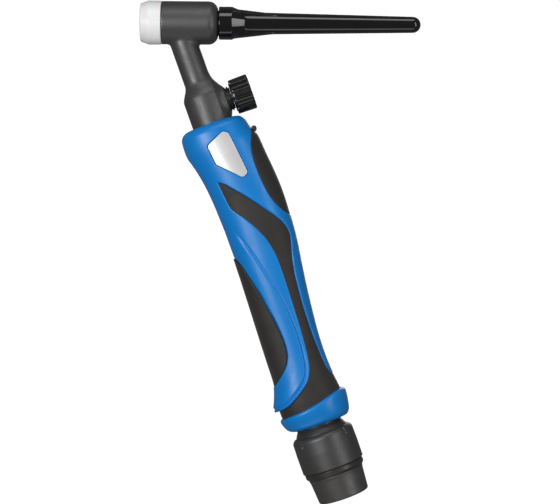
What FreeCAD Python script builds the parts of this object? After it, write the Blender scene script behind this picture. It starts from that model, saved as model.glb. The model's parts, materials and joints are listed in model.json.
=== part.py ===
import FreeCAD, Part

# A gas-cooled TIG welding torch with a gas valve in its neck. The origin is the centre of the end face of
# the power cable thread, inside the grip; +Z runs up the straight stem to the head, +X is the side of the
# back cap and the valve knob, and the torch is symmetric about the XZ plane. Millimetres and degrees.

import math
import os

import Sketcher

doc = FreeCAD.newDocument("tig_torch")
sheet = doc.addObject("Spreadsheet::Sheet", "sizes")

# ---------------------------------------------------------------- driving dimensions

SIZES = {
    # places along the stem, each a distance from the one before
    "thread_length": 12.0,  # origin to the top of the power cable thread
    "thread_to_mouth": 47.0,  # top of the thread to the mouth of the grip
    "mouth_to_valve": 9.7,  # mouth of the grip to the axis of the gas valve
    "valve_to_head": 47.3,  # valve axis to the crossing of stem and head axes
    "head_tilt": 20.0,  # lean of the head axis from square to the stem
    # head: distances along the head axis, positive towards the nozzle
    "jacket_wall": 2.9,
    "barrel_front": 7.9,
    "barrel_rear": 22.2,
    "barrel_round": 5.2,
    "core_wall": 0.9,  # wall of the core round the seal pocket
    "core_nose": 4.0,  # length of the nose that the gasket seats on
    "core_nose_wall": 1.75,
    "collet_thread_radius": 4.75,
    "collet_thread_length": 10.0,
    "gas_chamber_radius": 4.0,
    "cap_thread_radius": 5.0,
    "cap_thread_length": 7.0,
    "seal_pocket_depth": 2.0,
    "seal_room": 0.6,  # room round the cap's seal in its pocket
    "gasket_lip": 0.2,  # how far the gasket stands out past the barrel
    "gasket_length": 11.2,
    "gasket_chamfer": 1.8,
    "gasket_chamfer_length": 4.3,
    "gasket_bore": 5.6,
    # back cap: distances from the rear face of the head
    "cap_gap": 0.3,
    "cap_collar_lip": 0.25,  # how far the cap's collar stands out past the core
    "collar_length": 6.9,
    "cap_ramp_length": 6.9,
    "cap_tube_radius": 6.0,
    "cap_tip_radius": 4.3,
    "cap_length": 106.9,
    "cap_wall": 1.7,
    "cap_rib_length": 21.0,
    "cap_rib_width": 2.6,
    "stud_embed": 10.0,
    "stud_nose_gap": 0.4,
    "stud_nose_length": 4.0,
    "electrode_radius": 2.0,
    "cap_seal_radius": 1.0,
    # neck, valve bulge and the metal stem
    "neck_wall": 2.7,
    "bulge_wall": 2.0,
    "bulge_top": 5.3,  # valve axis to the top of the full bulge
    "shoulder_length": 8.2,
    "shoulder_round": 4.0,
    "jacket_tail": 19.0,  # mouth of the grip to the lower end of the jacket
    "tube_radius": 4.5,
    "tube_bore": 2.5,
    "tube_seat": 3.8,  # depth of the tube in the valve block
    "tube_head_gap": 7.0,  # crossing of the axes to the end of the tube
    "block_radius": 8.7,
    "block_above": 8.3,  # valve axis to the top of the block
    "block_below": 34.7,  # valve axis to the lower face of the block
    "stud_radius": 6.0,
    "hex_flats": 17.0,
    "hex_length": 6.0,
    "spigot_radius": 5.0,
    "spigot_length": 8.0,
    "insulator_wall": 1.3,
    # gas valve: distances along +X from the stem axis
    "boss_lip": 1.1,
    "boss_stand": 1.1,  # how far the boss stands out of the bulge
    "valve_seat_wall": 1.7,
    "valve_port_radius": 1.3,
    "valve_chamber_length": 1.2,
    "passage_top": 1.5,  # valve axis to the blind top of the lower gas passage
    "passage_web": 1.5,  # wall between the lower passage and the space under the tube
    "crossing_radius": 0.9,
    "bonnet_wall": 2.05,
    "bonnet_lip": 0.9,
    "bonnet_flange": 2.6,
    "bonnet_groove": 0.6,
    "stem_radius": 1.9,
    "stem_tip": 2.2,
    "seal_section": 0.6,
    "seal_space": 0.12,
    "valve_lift": 1.6,  # how far the stem screws out
    "knob_radius": 9.3,
    "knob_length": 10.4,
    "knob_hub_length": 0.4,
    "knob_hub_step": 1.7,
    "knob_round": 0.8,
    "flute_radius": 1.35,
    "flute_depth": 0.74,
    "flute_count": 12,
    # grip: each station's step below the one before, its palm and front edges and half thickness
    "mouth_palm_wall": 7.9,  # edges of the mouth, outside the jacket that goes through it
    "mouth_front_wall": 7.1,
    "mouth_side_wall": 4.9,
    "shoulder_step": 9.0,
    "shoulder_palm": -18.9,
    "shoulder_front": 20.2,
    "shoulder_half": 16.2,
    "chest_step": 14.0,
    "chest_palm": -16.2,
    "chest_front": 21.9,
    "chest_half": 16.0,
    "trigger_step": 22.0,
    "trigger_palm": -14.0,
    "trigger_front": 23.6,
    "trigger_half": 15.4,
    "belly_step": 22.0,
    "belly_palm": -13.5,
    "belly_front": 22.7,
    "belly_half": 14.9,
    "middle_step": 24.0,
    "middle_palm": -14.1,
    "middle_front": 19.3,
    "middle_half": 14.5,
    "waist_step": 24.0,
    "waist_palm": -14.8,
    "waist_front": 16.6,
    "waist_half": 14.5,
    "ankle_step": 22.0,
    "ankle_palm": -15.6,
    "ankle_front": 15.8,
    "ankle_half": 15.0,
    "foot_step": 18.0,
    "foot_palm_wall": 1.2,
    "foot_front_wall": 1.6,
    "foot_half_wall": 0.8,
    "sole_step": 13.0,  # foot station to the lower end of the grip
    "grip_wall": 2.4,
    "mouth_wall": 7.0,
    "mouth_round": 5.0,
    "inlay_depth": 1.3,
    "inlay_recess": 0.25,
    "label_depth": 0.8,
    "label_recess": 0.15,
    "tab_below_mouth": 8.6,
    "tab_radius": 1.4,
    "tab_half": 4.0,
    "tab_sink": 0.2,
    "tab_round": 0.6,
    # lower end of the grip, the end collar and the shell screws
    "spigot_wall": 1.8,  # wall of the shells' round end, inside the collar
    "spigot_rise": 8.0,  # least height of the collar, at the palm side
    "collar_slope": 9.0,  # lean of the top edge of the collar
    "collar_palm_wall": 3.0,
    "collar_front_wall": 3.6,
    "collar_side_wall": 2.4,
    "collar_draft": 2.6,  # how far the lower rim of the collar pulls in
    "screw_radius": 1.5,
    "screw_head_radius": 2.8,
    "screw_head_height": 2.0,
    "screw_sink": 0.3,  # depth of a screw's head below the grip's surface
    "screw_reach": 5.4,  # how far a screw goes past the joint of the shells
    "screw_post_wall": 1.7,
    "screw_slot_width": 0.7,
    "screw_slot_depth": 1.2,
    "cable_way_radius": 8.4,
    "lower_screw_rise": 22.0,
    # cable swivel, below the grip
    "ball_bore": 9.0,
    "ball_neck_wall": 3.2,
    "ball_swell": 2.8,  # how far the ball stands out past its neck
    "ball_lip": 4.3,  # thickness of the shell wall that holds the ball's flange
    "ball_flange_lip": 1.5,
    "ball_flange_height": 3.4,
    "ball_low_angle": 30.0,  # latitude of the lower cut of the ball
    "socket_lean": 12.0,  # the furthest that the socket leans on the ball
    "socket_lean_gap": 0.96,  # socket to grip at the furthest lean
    "ball_gap": 0.3,
    "flange_gap": 0.3,
    "socket_wall": 1.25,
    "socket_above": 5.6,  # ball centre to the rim of the socket
    "socket_round": 2.3,
    "throat_wall": 2.65,
    "rim_slot_width": 1.4,
    "rim_slot_depth": 4.6,
    "rim_slot_count": 4,
    "lock_ring_step": 0.55,  # how far the lock ring lies inside the socket's outside
    "lock_ring_height": 3.7,
    "lock_ring_chamfer": 1.0,
    "sleeve_length": 13.6,
    "sleeve_plug_wall": 2.6,
    "sleeve_top_wall": 3.6,
    "sleeve_end_wall": 2.3,
    "sleeve_seat": 3.3,
    "sleeve_lean_gap": 0.36,  # ball to sleeve at the furthest lean
    "sleeve_round": 0.9,
    "collar_chamfer": 1.2,
    # clearances
    "running_gap": 0.05,
    "knob_gap": 0.3,
    "post_gap": 0.4,
}

STATIONS = ("mouth", "shoulder", "chest", "trigger", "belly", "middle", "waist", "ankle", "foot")

for row, (alias, value) in enumerate(SIZES.items(), start=1):
    sheet.set(f"A{row}", alias)
    sheet.set(f"B{row}", str(value))
    sheet.setAlias(f"B{row}", alias)
doc.recompute()


class Size:
    """A length or angle as a formula of the sheet's cells, with its present value."""

    def __init__(self, text, number):
        self.text = text
        self.number = number

    def combined(self, sign, other, number):
        return Size(f"({self.text} {sign} {other.text})", number)

    def __add__(self, other):
        other = size(other)
        return self.combined("+", other, self.number + other.number)

    def __sub__(self, other):
        other = size(other)
        return self.combined("-", other, self.number - other.number)

    def __mul__(self, other):
        other = size(other)
        return self.combined("*", other, self.number * other.number)

    def __neg__(self):
        return Size(f"(0 - {self.text})", -self.number)


def size(value):
    """The Size of a cell's alias, of a plain number or of a Size."""
    if isinstance(value, Size):
        return value
    if isinstance(value, str):
        return Size(f"sizes.{value}", float(sheet.get(value)))
    return Size(str(value), float(value))


def trig(name, angle):
    function = {"sin": math.sin, "cos": math.cos, "tan": math.tan}[name]
    return Size(f"{name}({angle.text})", function(math.radians(angle.number)))


# ---------------------------------------------------------------- places that several pieces share

ORIGIN = size(0)
TILT = size("head_tilt")
MOUTH = size("thread_length") + "thread_to_mouth"
VALVE = MOUTH + "mouth_to_valve"
HEAD = VALVE + "valve_to_head"
SOLE = MOUTH
for station in STATIONS[1:]:
    SOLE = SOLE - f"{station}_step"
SOLE = SOLE - "sole_step"
BALL_NECK = size("ball_bore") + "ball_neck_wall"
BALL_FLANGE = BALL_NECK + "ball_flange_lip"
BALL_RADIUS = BALL_NECK + "ball_swell"
HOLLOW_RADIUS = BALL_RADIUS + "ball_gap"
SOCKET_RADIUS = HOLLOW_RADIUS + "socket_wall"
THROAT = SOCKET_RADIUS - "throat_wall"
SLEEVE_BORE = THROAT - "sleeve_plug_wall"
LEAN = size("socket_lean")
BALL = SOLE - "socket_above" - SOCKET_RADIUS * trig("sin", LEAN) - "socket_lean_gap"
SLEEVE_HIGH = BALL - BALL_RADIUS * trig("sin", LEAN + "ball_low_angle") - "sleeve_lean_gap"
SOCKET_END = SLEEVE_HIGH - "sleeve_seat"
RING_END = SOCKET_END - "lock_ring_height"
CABLE_END = RING_END - "sleeve_length"
BLOCK_LOW = VALVE - "block_below"
JACKET_LOW = MOUTH - "jacket_tail"
CORE_FRONT = size("barrel_front") + "core_nose"
CORE_REAR = -size("barrel_rear") + "seal_pocket_depth"
NOSE_RADIUS = size("collet_thread_radius") + "core_nose_wall"
SEAL_POCKET = size("cap_thread_radius") + size("cap_seal_radius") * 2 + "seal_room"
CORE_RADIUS = SEAL_POCKET + "core_wall"
CAP_COLLAR = CORE_RADIUS + "cap_collar_lip"
BARREL_RADIUS = CORE_RADIUS + "jacket_wall"
GASKET_RADIUS = BARREL_RADIUS + "gasket_lip"
NECK_RADIUS = size("tube_radius") + "neck_wall"
BULGE_RADIUS = size("block_radius") + "bulge_wall"
STEM_HOLE = size("stem_radius") + "running_gap"
SEAL_BOX = STEM_HOLE + size("seal_section") * 2
BONNET_RADIUS = SEAL_BOX + "bonnet_wall"
BONNET_FLANGE = BONNET_RADIUS + "bonnet_lip"
VALVE_SEAT = size("tube_bore") + "valve_seat_wall"
BONNET_START = VALVE_SEAT + "valve_chamber_length"
BOSS_FACE = BULGE_RADIUS + "boss_stand"
BONNET_END = BOSS_FACE + "bonnet_flange"
KNOB_START = BONNET_END + "knob_gap" + "knob_hub_length"
CONNECTOR_SLEEVE = size("stud_radius") + "insulator_wall"
SPIGOT = BALL_FLANGE + "flange_gap" + "spigot_wall"
SCREW_POST = size("screw_radius") + "screw_post_wall"


# ---------------------------------------------------------------- helpers

def bind(item, name, value):
    item.setExpression(name, size(value).text)


def on_stem(item, height=ORIGIN):
    """Put the item's own Z on the stem axis, from a height."""
    bind(item, "Placement.Base.z", height)
    return item


def on_head(item, along=ORIGIN):
    """Point the item's own Z along the head axis towards the nozzle, from a distance along it."""
    item.Placement.Rotation = FreeCAD.Rotation(FreeCAD.Vector(0, -1, 0), 90 - TILT.number)
    bind(item, "Placement.Rotation.Angle", size(90) - TILT)
    bind(item, "Placement.Base.x", -(trig("cos", TILT) * along))
    bind(item, "Placement.Base.z", HEAD + trig("sin", TILT) * along)
    return item


def on_valve(item, along=ORIGIN):
    """Point the item's own Z along +X on the valve axis, from a distance out of the stem axis."""
    item.Placement.Rotation = FreeCAD.Rotation(FreeCAD.Vector(0, 1, 0), 90)
    bind(item, "Placement.Base.x", along)
    bind(item, "Placement.Base.z", VALVE)
    return item


def cylinder(name, radius, length):
    item = doc.addObject("Part::Cylinder", name)
    bind(item, "Radius", radius)
    bind(item, "Height", length)
    return item


def cut(label, base, tools):
    """The base without the tools."""
    item = doc.addObject("Part::Cut", label)
    item.Base = base
    item.Tool = tools[0] if len(tools) == 1 else fuse(f"{label}_tools", tools)
    return item


def fuse(label, pieces):
    item = doc.addObject("Part::MultiFuse", label)
    item.Shapes = pieces
    return item


def origin_plane(body, role):
    return next(plane for plane in body.Origin.OriginFeatures if plane.Role == role)


def outline(body, name, role, corners):
    """A closed sketch of straight sides, whose corners keep their distances from the body's origin."""
    corners = [(size(across), size(up)) for across, up in corners]
    sketch = body.newObject("Sketcher::SketchObject", name)
    sketch.AttachmentSupport = [(origin_plane(body, role), "")]
    sketch.MapMode = "FlatFace"
    points = [FreeCAD.Vector(across.number, up.number, 0) for across, up in corners]
    for start, end in zip(points, points[1:] + points[:1]):
        sketch.addGeometry(Part.LineSegment(start, end), False)
    for side in range(len(corners)):
        following = (side + 1) % len(corners)
        sketch.addConstraint(Sketcher.Constraint("Coincident", side, 2, following, 1))
    for side, (across, up) in enumerate(corners):
        for kind, value in (("DistanceX", across), ("DistanceY", up)):
            number = sketch.addConstraint(Sketcher.Constraint(kind, -1, 1, side, 1, value.number))
            sketch.setExpression(f"Constraints[{number}]", value.text)
    return sketch


def turned(label, corners):
    """A body turned about its own Z from (radius, height) corners."""
    body = doc.addObject("PartDesign::Body", label)
    profile = outline(body, f"{label}_profile", "XZ_Plane", corners)
    feature = body.newObject("PartDesign::Revolution", f"{label}_turned")
    feature.Profile = profile
    feature.ReferenceAxis = (profile, ["V_Axis"])
    feature.Angle = 360
    profile.Visibility = False
    doc.recompute()
    return body


def ring_edge(feature, radius, height):
    """The name of the feature's circular edge of a radius at a height."""
    for number, edge in enumerate(feature.Shape.Edges, start=1):
        if not isinstance(edge.Curve, Part.Circle):
            continue
        same_radius = abs(edge.Curve.Radius - size(radius).number) < 1e-4
        same_height = abs(edge.Curve.Center.z - size(height).number) < 1e-4
        if same_radius and same_height:
            return f"Edge{number}"
    raise ValueError(f"no ring of radius {size(radius).number} at {size(height).number}")


def rounded(body, radius, rings):
    """Fillet the body's circular edges given as (radius, height)."""
    base = body.Tip
    feature = body.newObject("PartDesign::Fillet", f"{body.Name}_round")
    feature.Base = (base, [ring_edge(base, *ring) for ring in rings])
    bind(feature, "Radius", radius)
    body.Tip = feature
    doc.recompute()
    return body


def made(label, shape):
    """A sub-part whose shape is worked out here from the sheet's sizes."""
    item = doc.addObject("Part::Feature", label)
    item.Shape = shape
    return item


# ---------------------------------------------------------------- head and back cap

def head_core():
    """Brass core: collet body thread in front, gas chamber, cap thread behind, tube seat below."""
    front_bore = CORE_FRONT - "collet_thread_length"
    rear_bore = CORE_REAR + "cap_thread_length"
    body = turned("core_turned", [
        ("collet_thread_radius", CORE_FRONT),
        (NOSE_RADIUS, CORE_FRONT),
        (NOSE_RADIUS, "barrel_front"),
        (CORE_RADIUS, "barrel_front"),
        (CORE_RADIUS, CORE_REAR),
        ("cap_thread_radius", CORE_REAR),
        ("cap_thread_radius", rear_bore),
        ("gas_chamber_radius", rear_bore),
        ("gas_chamber_radius", front_bore),
        ("collet_thread_radius", front_bore),
    ])
    on_head(body)
    seat = on_stem(cylinder("core_tube_seat", "tube_radius", BARREL_RADIUS),
                   HEAD - "tube_head_gap" - BARREL_RADIUS)
    port = on_stem(cylinder("core_gas_port", "tube_bore", "tube_head_gap"), HEAD - "tube_head_gap")
    return cut("head_core", body, [seat, port])


def neck_tube():
    foot = VALVE + "block_above" - "tube_seat"
    return turned("neck_tube", [
        ("tube_bore", foot),
        ("tube_radius", foot),
        ("tube_radius", HEAD - "tube_head_gap"),
        ("tube_bore", HEAD - "tube_head_gap"),
    ])


def head_jacket():
    """Moulded insulation: barrel, neck, valve bulge and boss over the metal core."""
    barrel = turned("jacket_barrel", [
        (0, -size("barrel_rear")),
        (BARREL_RADIUS, -size("barrel_rear")),
        (BARREL_RADIUS, "barrel_front"),
        (0, "barrel_front"),
    ])
    rounded(barrel, "barrel_round", [(BARREL_RADIUS, -size("barrel_rear"))])
    on_head(barrel)
    bulge_top = VALVE + "bulge_top"
    stem = turned("jacket_stem", [
        (0, JACKET_LOW),
        (BULGE_RADIUS, JACKET_LOW),
        (BULGE_RADIUS, bulge_top),
        (NECK_RADIUS, bulge_top + "shoulder_length"),
        (NECK_RADIUS, HEAD),
        (0, HEAD),
    ])
    rounded(stem, "shoulder_round", [(BULGE_RADIUS, bulge_top)])
    boss = on_valve(cylinder("jacket_boss", BONNET_FLANGE + "boss_lip", BOSS_FACE))
    outside = fuse("jacket_outside", [barrel, stem, boss])
    core_length = size("barrel_front") - CORE_REAR
    hollows = [
        on_head(cylinder("jacket_core_hole", CORE_RADIUS, core_length), CORE_REAR),
        on_head(cylinder("jacket_seal_pocket", SEAL_POCKET, "seal_pocket_depth"),
                -size("barrel_rear")),
        on_stem(cylinder("jacket_tube_hole", "tube_radius", HEAD - VALVE - "tube_head_gap"), VALVE),
        on_stem(cylinder("jacket_block_hole", "block_radius", VALVE + "block_above" - JACKET_LOW), JACKET_LOW),
        on_valve(cylinder("jacket_bonnet_hole", BONNET_RADIUS, BOSS_FACE)),
    ]
    return cut("head_jacket", outside, hollows)


def front_gasket():
    """White insulating gasket that the nozzle seals on."""
    low = size("barrel_front")
    high = low + "gasket_length"
    return on_head(turned("front_gasket", [
        (NOSE_RADIUS, low),
        (GASKET_RADIUS, low),
        (GASKET_RADIUS, high - "gasket_chamfer_length"),
        (GASKET_RADIUS - "gasket_chamfer", high),
        ("gasket_bore", high),
        ("gasket_bore", CORE_FRONT),
        (NOSE_RADIUS, CORE_FRONT),
    ]))


def cap_outside():
    """Half profile of the back cap's outside, from its front face to the start of its round tip."""
    ramp = size("cap_gap") + "collar_length"
    tube = ramp + "cap_ramp_length"
    tip = size("cap_gap") + "cap_length" - "cap_tip_radius"
    return [
        (CAP_COLLAR, -size("cap_gap")),
        (CAP_COLLAR, -ramp),
        ("cap_tube_radius", -tube),
        ("cap_tip_radius", -tip),
    ]


def back_cap():
    """Long cap over the electrode, with a gripping collar, three ribs and a round tip."""
    face = size("cap_gap")
    tip = face + "cap_length" - "cap_tip_radius"
    inside = size("cap_tip_radius") - "cap_wall"
    skin = turned("cap_skin", [(0, -face)] + cap_outside() + [(0, -tip)])
    dome = doc.addObject("Part::Sphere", "cap_dome")
    bind(dome, "Radius", "cap_tip_radius")
    bore = cylinder("cap_bore", inside, tip - face)
    seat = cylinder("cap_stud_seat", "cap_thread_radius", "stud_embed")
    rear = -size("barrel_rear")
    pieces = [on_head(skin, rear), on_head(dome, rear - tip)]
    pieces += [cap_rib(turn) for turn in (78, 198, 318)]
    outside = fuse("cap_outside", pieces)
    hollows = [on_head(bore, rear - tip), on_head(seat, rear - face - "stud_embed")]
    return cut("back_cap", outside, hollows)


def cap_rib(turn):
    """One thin gusset from the cap's collar down to its tube, turned about the head axis."""
    start = size("cap_gap") + "collar_length"
    end = start + "cap_ramp_length" + "cap_rib_length"
    body = doc.addObject("PartDesign::Body", f"cap_rib_{turn}")
    profile = outline(body, f"cap_rib_{turn}_profile", "XZ_Plane", [
        ("cap_tip_radius", -start),
        (CAP_COLLAR, -start),
        ("cap_tip_radius", -end),
    ])
    pad = body.newObject("PartDesign::Pad", f"cap_rib_{turn}_pad")
    pad.Profile = profile
    pad.Midplane = True
    bind(pad, "Length", "cap_rib_width")
    doc.recompute()
    on_head(body, -size("barrel_rear"))
    turned_rib = doc.addObject("Part::Feature", f"cap_rib_{turn}_turned")
    axis = FreeCAD.Vector(-math.cos(math.radians(TILT.number)), 0, math.sin(math.radians(TILT.number)))
    doc.recompute()
    turned_rib.Shape = body.Shape.rotated(FreeCAD.Vector(0, 0, HEAD.number), axis, turn)
    return turned_rib


def back_cap_stud():
    """Brass stud moulded into the cap: it screws into the head and pushes on the collet."""
    face = -size("barrel_rear") - "cap_gap"
    outer_end = face - "stud_embed"
    thread = size("cap_thread_radius") - "running_gap"
    thread_end = CORE_REAR + "cap_thread_length" - "knob_gap"
    nose_end = thread_end + "stud_nose_length"
    nose = size("gas_chamber_radius") - "stud_nose_gap"
    return on_head(turned("back_cap_stud", [
        ("electrode_radius", outer_end),
        ("cap_thread_radius", outer_end),
        ("cap_thread_radius", face),
        (thread, face),
        (thread, thread_end),
        (nose, thread_end),
        (nose, nose_end),
        ("electrode_radius", nose_end),
    ]))


def back_cap_o_ring():
    """Seal between the cap's collar and the rear of the head."""
    item = doc.addObject("Part::Torus", "back_cap_o_ring")
    bind(item, "Radius1", size("cap_thread_radius") + "cap_seal_radius")
    bind(item, "Radius2", "cap_seal_radius")
    return on_head(item, -size("barrel_rear") - "cap_gap" + "cap_seal_radius")


# ---------------------------------------------------------------- metal stem and gas valve

def valve_block():
    """Brass block: gas comes up the lower passage, through the seat's port into the side bore, and back
    through the crossing into the tube."""
    top = VALVE + "block_above"
    tube_foot = top - "tube_seat"
    stud_top = BLOCK_LOW + "spigot_length"
    web_low = VALVE + "passage_top"
    web_high = web_low + "passage_web"
    body = turned("block_turned", [
        ("tube_radius", top),
        ("block_radius", top),
        ("block_radius", BLOCK_LOW),
        ("spigot_radius", BLOCK_LOW),
        ("spigot_radius", stud_top),
        ("tube_bore", stud_top),
        ("tube_bore", web_low),
        (0, web_low),
        (0, web_high),
        ("tube_bore", web_high),
        ("tube_bore", tube_foot),
        ("tube_radius", tube_foot),
    ])
    side_bore = on_valve(cylinder("block_side_bore", BONNET_RADIUS, "block_radius"), VALVE_SEAT)
    port = on_valve(cylinder("block_port", "valve_port_radius", VALVE_SEAT))
    crossing = on_valve(cylinder("block_crossing", "crossing_radius", VALVE_SEAT))
    bind(crossing, "Placement.Base.z", (web_high + tube_foot) * 0.5)
    return cut("valve_block", body, [side_bore, port, crossing])


def tail_stud():
    """Brass connector below the block: spigot, hexagon and the power cable thread."""
    hex_low = size("thread_length")
    hex_high = hex_low + "hex_length"
    body = turned("stud_turned", [
        ("tube_bore", ORIGIN),
        ("stud_radius", ORIGIN),
        ("stud_radius", BLOCK_LOW),
        ("spigot_radius", BLOCK_LOW),
        ("spigot_radius", BLOCK_LOW + "spigot_length"),
        ("tube_bore", BLOCK_LOW + "spigot_length"),
    ])
    hexagon = doc.addObject("Part::Prism", "stud_hexagon")
    hexagon.Polygon = 6
    bind(hexagon, "Circumradius", Size("(sizes.hex_flats / sqrt(3))", size("hex_flats").number / math.sqrt(3)))
    bind(hexagon, "Height", "hex_length")
    on_stem(hexagon, hex_low)
    hole = on_stem(cylinder("stud_hexagon_hole", "stud_radius", hex_high - hex_low), hex_low)
    return fuse("tail_stud", [body, cut("stud_hexagon_ring", hexagon, [hole])])


def tail_insulator():
    """Rubber sleeve over the connector between its hexagon and the valve block."""
    low = size("thread_length") + "hex_length"
    return turned("tail_insulator", [
        ("stud_radius", low),
        (CONNECTOR_SLEEVE, low),
        (CONNECTOR_SLEEVE, BLOCK_LOW),
        ("stud_radius", BLOCK_LOW),
    ])


def valve_bonnet():
    """Gland nut of the valve: seal box inside, grooved flange outside."""
    bore = STEM_HOLE
    box = SEAL_BOX
    inner = BONNET_START
    box_end = inner + size("seal_section") * 4 + size("seal_space") * 3 + "valve_lift"
    face = BOSS_FACE
    groove_low = face + "bonnet_groove"
    groove_high = groove_low + "bonnet_groove"
    floor = BONNET_FLANGE - "bonnet_groove"
    return on_valve(turned("valve_bonnet", [
        (box, inner),
        (BONNET_RADIUS, inner),
        (BONNET_RADIUS, face),
        (BONNET_FLANGE, face),
        (BONNET_FLANGE, groove_low),
        (floor, groove_low),
        (floor, groove_high),
        (BONNET_FLANGE, groove_high),
        (BONNET_FLANGE, BONNET_END),
        (bore, BONNET_END),
        (bore, box_end),
        (box, box_end),
    ]))


def valve_stem():
    """Needle stem that carries the knob."""
    tip = size("valve_port_radius") - "running_gap"
    point = VALVE_SEAT - "stem_tip"
    end = KNOB_START + "knob_length" - "stem_tip"
    return on_valve(turned("valve_stem", [
        (0, point),
        (tip * 0.3, point),
        (tip, VALVE_SEAT),
        ("stem_radius", VALVE_SEAT),
        ("stem_radius", end),
        (0, end),
    ]))


def valve_stem_seals():
    """Two O-rings on the stem inside the gland."""
    pitch = size("seal_section") * 2 + "seal_space"
    rings = []
    for number in (1, 2):
        ring = doc.addObject("Part::Torus", f"stem_seal_{number}")
        bind(ring, "Radius1", STEM_HOLE + "seal_section")
        bind(ring, "Radius2", size("seal_section") - size("running_gap") * 0.5)
        rings.append(on_valve(ring, BONNET_START + pitch * number - "seal_section"))
    group = doc.addObject("Part::Compound", "valve_stem_seals")
    group.Links = rings
    return group


def valve_knob():
    """Fluted knob with a narrow hub, fixed on the stem."""
    start = KNOB_START
    end = start + "knob_length"
    hub = BONNET_END + "knob_gap"
    hub_radius = size("knob_radius") - "knob_hub_step"
    stem_end = end - "stem_tip"
    body = turned("valve_knob", [
        ("stem_radius", hub),
        (hub_radius, hub),
        (hub_radius, start),
        ("knob_radius", start),
        ("knob_radius", end),
        (0, end),
        (0, stem_end),
        ("stem_radius", stem_end),
    ])
    rounded(body, "knob_round", [("knob_radius", end)])
    turned_tip = body.Tip
    sketch = body.newObject("Sketcher::SketchObject", "flute_circle")
    sketch.AttachmentSupport = [(origin_plane(body, "XY_Plane"), "")]
    sketch.MapMode = "FlatFace"
    away = size("knob_radius") + "flute_radius" - "flute_depth"
    sketch.addGeometry(Part.Circle(FreeCAD.Vector(away.number, 0, 0), FreeCAD.Vector(0, 0, 1),
                                   size("flute_radius").number), False)
    width = sketch.addConstraint(Sketcher.Constraint("Radius", 0, size("flute_radius").number))
    sketch.setExpression(f"Constraints[{width}]", size("flute_radius").text)
    reach = sketch.addConstraint(Sketcher.Constraint("DistanceX", -1, 1, 0, 3, away.number))
    sketch.setExpression(f"Constraints[{reach}]", away.text)
    sketch.addConstraint(Sketcher.Constraint("PointOnObject", 0, 3, -1))
    flute = body.newObject("PartDesign::Pocket", "flute")
    flute.Profile = sketch
    flute.Reversed = True
    bind(flute, "Length", end + "knob_length")
    doc.recompute()
    pattern = body.newObject("PartDesign::PolarPattern", "flutes")
    pattern.Originals = [flute]
    pattern.Axis = (sketch, ["N_Axis"])
    pattern.Angle = 360
    bind(pattern, "Occurrences", "flute_count")
    body.Tip = pattern
    doc.recompute()
    if pattern.Shape.Volume >= turned_tip.Shape.Volume:
        raise ValueError("the knob's flutes cut nothing")
    return on_valve(body)


# ---------------------------------------------------------------- grip

def station_rows():
    """(height, palm edge, front edge, half thickness) at each station, from the mouth to the sole."""
    height = MOUTH.number
    mouth = (-BULGE_RADIUS - "mouth_palm_wall", BULGE_RADIUS + "mouth_front_wall",
             BULGE_RADIUS + "mouth_side_wall")
    rows = [(height, *(edge.number for edge in mouth))]
    for name in STATIONS[1:-1]:
        height -= size(f"{name}_step").number
        rows.append((height, *(size(f"{name}_{side}").number for side in ("palm", "front", "half"))))
    foot = (-SPIGOT - "foot_palm_wall", SPIGOT + "foot_front_wall", SPIGOT + "foot_half_wall")
    rows += [(at, *(edge.number for edge in foot)) for at in ((SOLE + "sole_step").number, SOLE.number)]
    return rows


def grip_at(height):
    """The grip's palm edge, front edge and half thickness at a height, between its stations."""
    rows = station_rows()
    for upper, lower in zip(rows, rows[1:]):
        if height >= lower[0]:
            break
    share = (upper[0] - height) / (upper[0] - lower[0])
    return [top + (bottom - top) * share for top, bottom in zip(upper[1:], lower[1:])]


SECTION_POINTS = 28
SECTION_POWER = 2.25


def section(height, palm, front, half, inset):
    """A rounded closed wire across the grip, pulled in by an inset."""
    centre = (palm + front) / 2
    across = (front - palm) / 2 - inset
    thick = half - inset
    points = []
    for step in range(SECTION_POINTS):
        angle = 2 * math.pi * step / SECTION_POINTS
        x = math.copysign(abs(math.cos(angle)) ** (2 / SECTION_POWER), math.cos(angle))
        y = math.copysign(abs(math.sin(angle)) ** (2 / SECTION_POWER), math.sin(angle))
        points.append(FreeCAD.Vector(centre + across * x, thick * y, height))
    curve = Part.BSplineCurve()
    curve.interpolate(points, PeriodicFlag=True)
    return Part.Wire(curve.toShape())


def skin(inset):
    """The solid inside the grip's surface, pulled in by an inset."""
    return Part.makeLoft([section(*row, inset) for row in station_rows()], True, False)


REACH = 60.0  # half size of the boxes that cut the grip into sides


def slab(low, high, side=0):
    """A large box between two heights, on both sides or only the -Y (-1) or +Y (+1) side."""
    start = 0 if side > 0 else -REACH
    depth = REACH if side else 2 * REACH
    return Part.makeBox(2 * REACH, depth, high - low, FreeCAD.Vector(-REACH, start, low))


def round_rod(radius, low, high):
    return Part.makeCylinder(radius, high - low, FreeCAD.Vector(0, 0, low))


def below_collar_edge(lift=0.0):
    """The space under the sloping top edge of the end collar."""
    slope = size("collar_slope").number
    level = SOLE.number + size("spigot_rise").number + lift
    space = Part.makeBox(4 * REACH, 2 * REACH, 2 * REACH, FreeCAD.Vector(0, -REACH, -2 * REACH))
    space.rotate(FreeCAD.Vector(0, 0, 0), FreeCAD.Vector(0, 1, 0), -slope)
    space.translate(FreeCAD.Vector(-(SPIGOT + "collar_palm_wall").number, 0, level))
    return space.common(slab(SOLE.number, SOLE.number + REACH))


def spigot(low, high):
    """The round end of the grip inside the collar."""
    return round_rod(SPIGOT.number, low, high)


def grip_point(down, across):
    """A point on the side view of the grip, as shares of its length and of its width there."""
    height = MOUTH.number + (SOLE.number - MOUTH.number) * down
    palm, front, _ = grip_at(height)
    return FreeCAD.Vector(palm + (front - palm) * across, 0, height)


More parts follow.
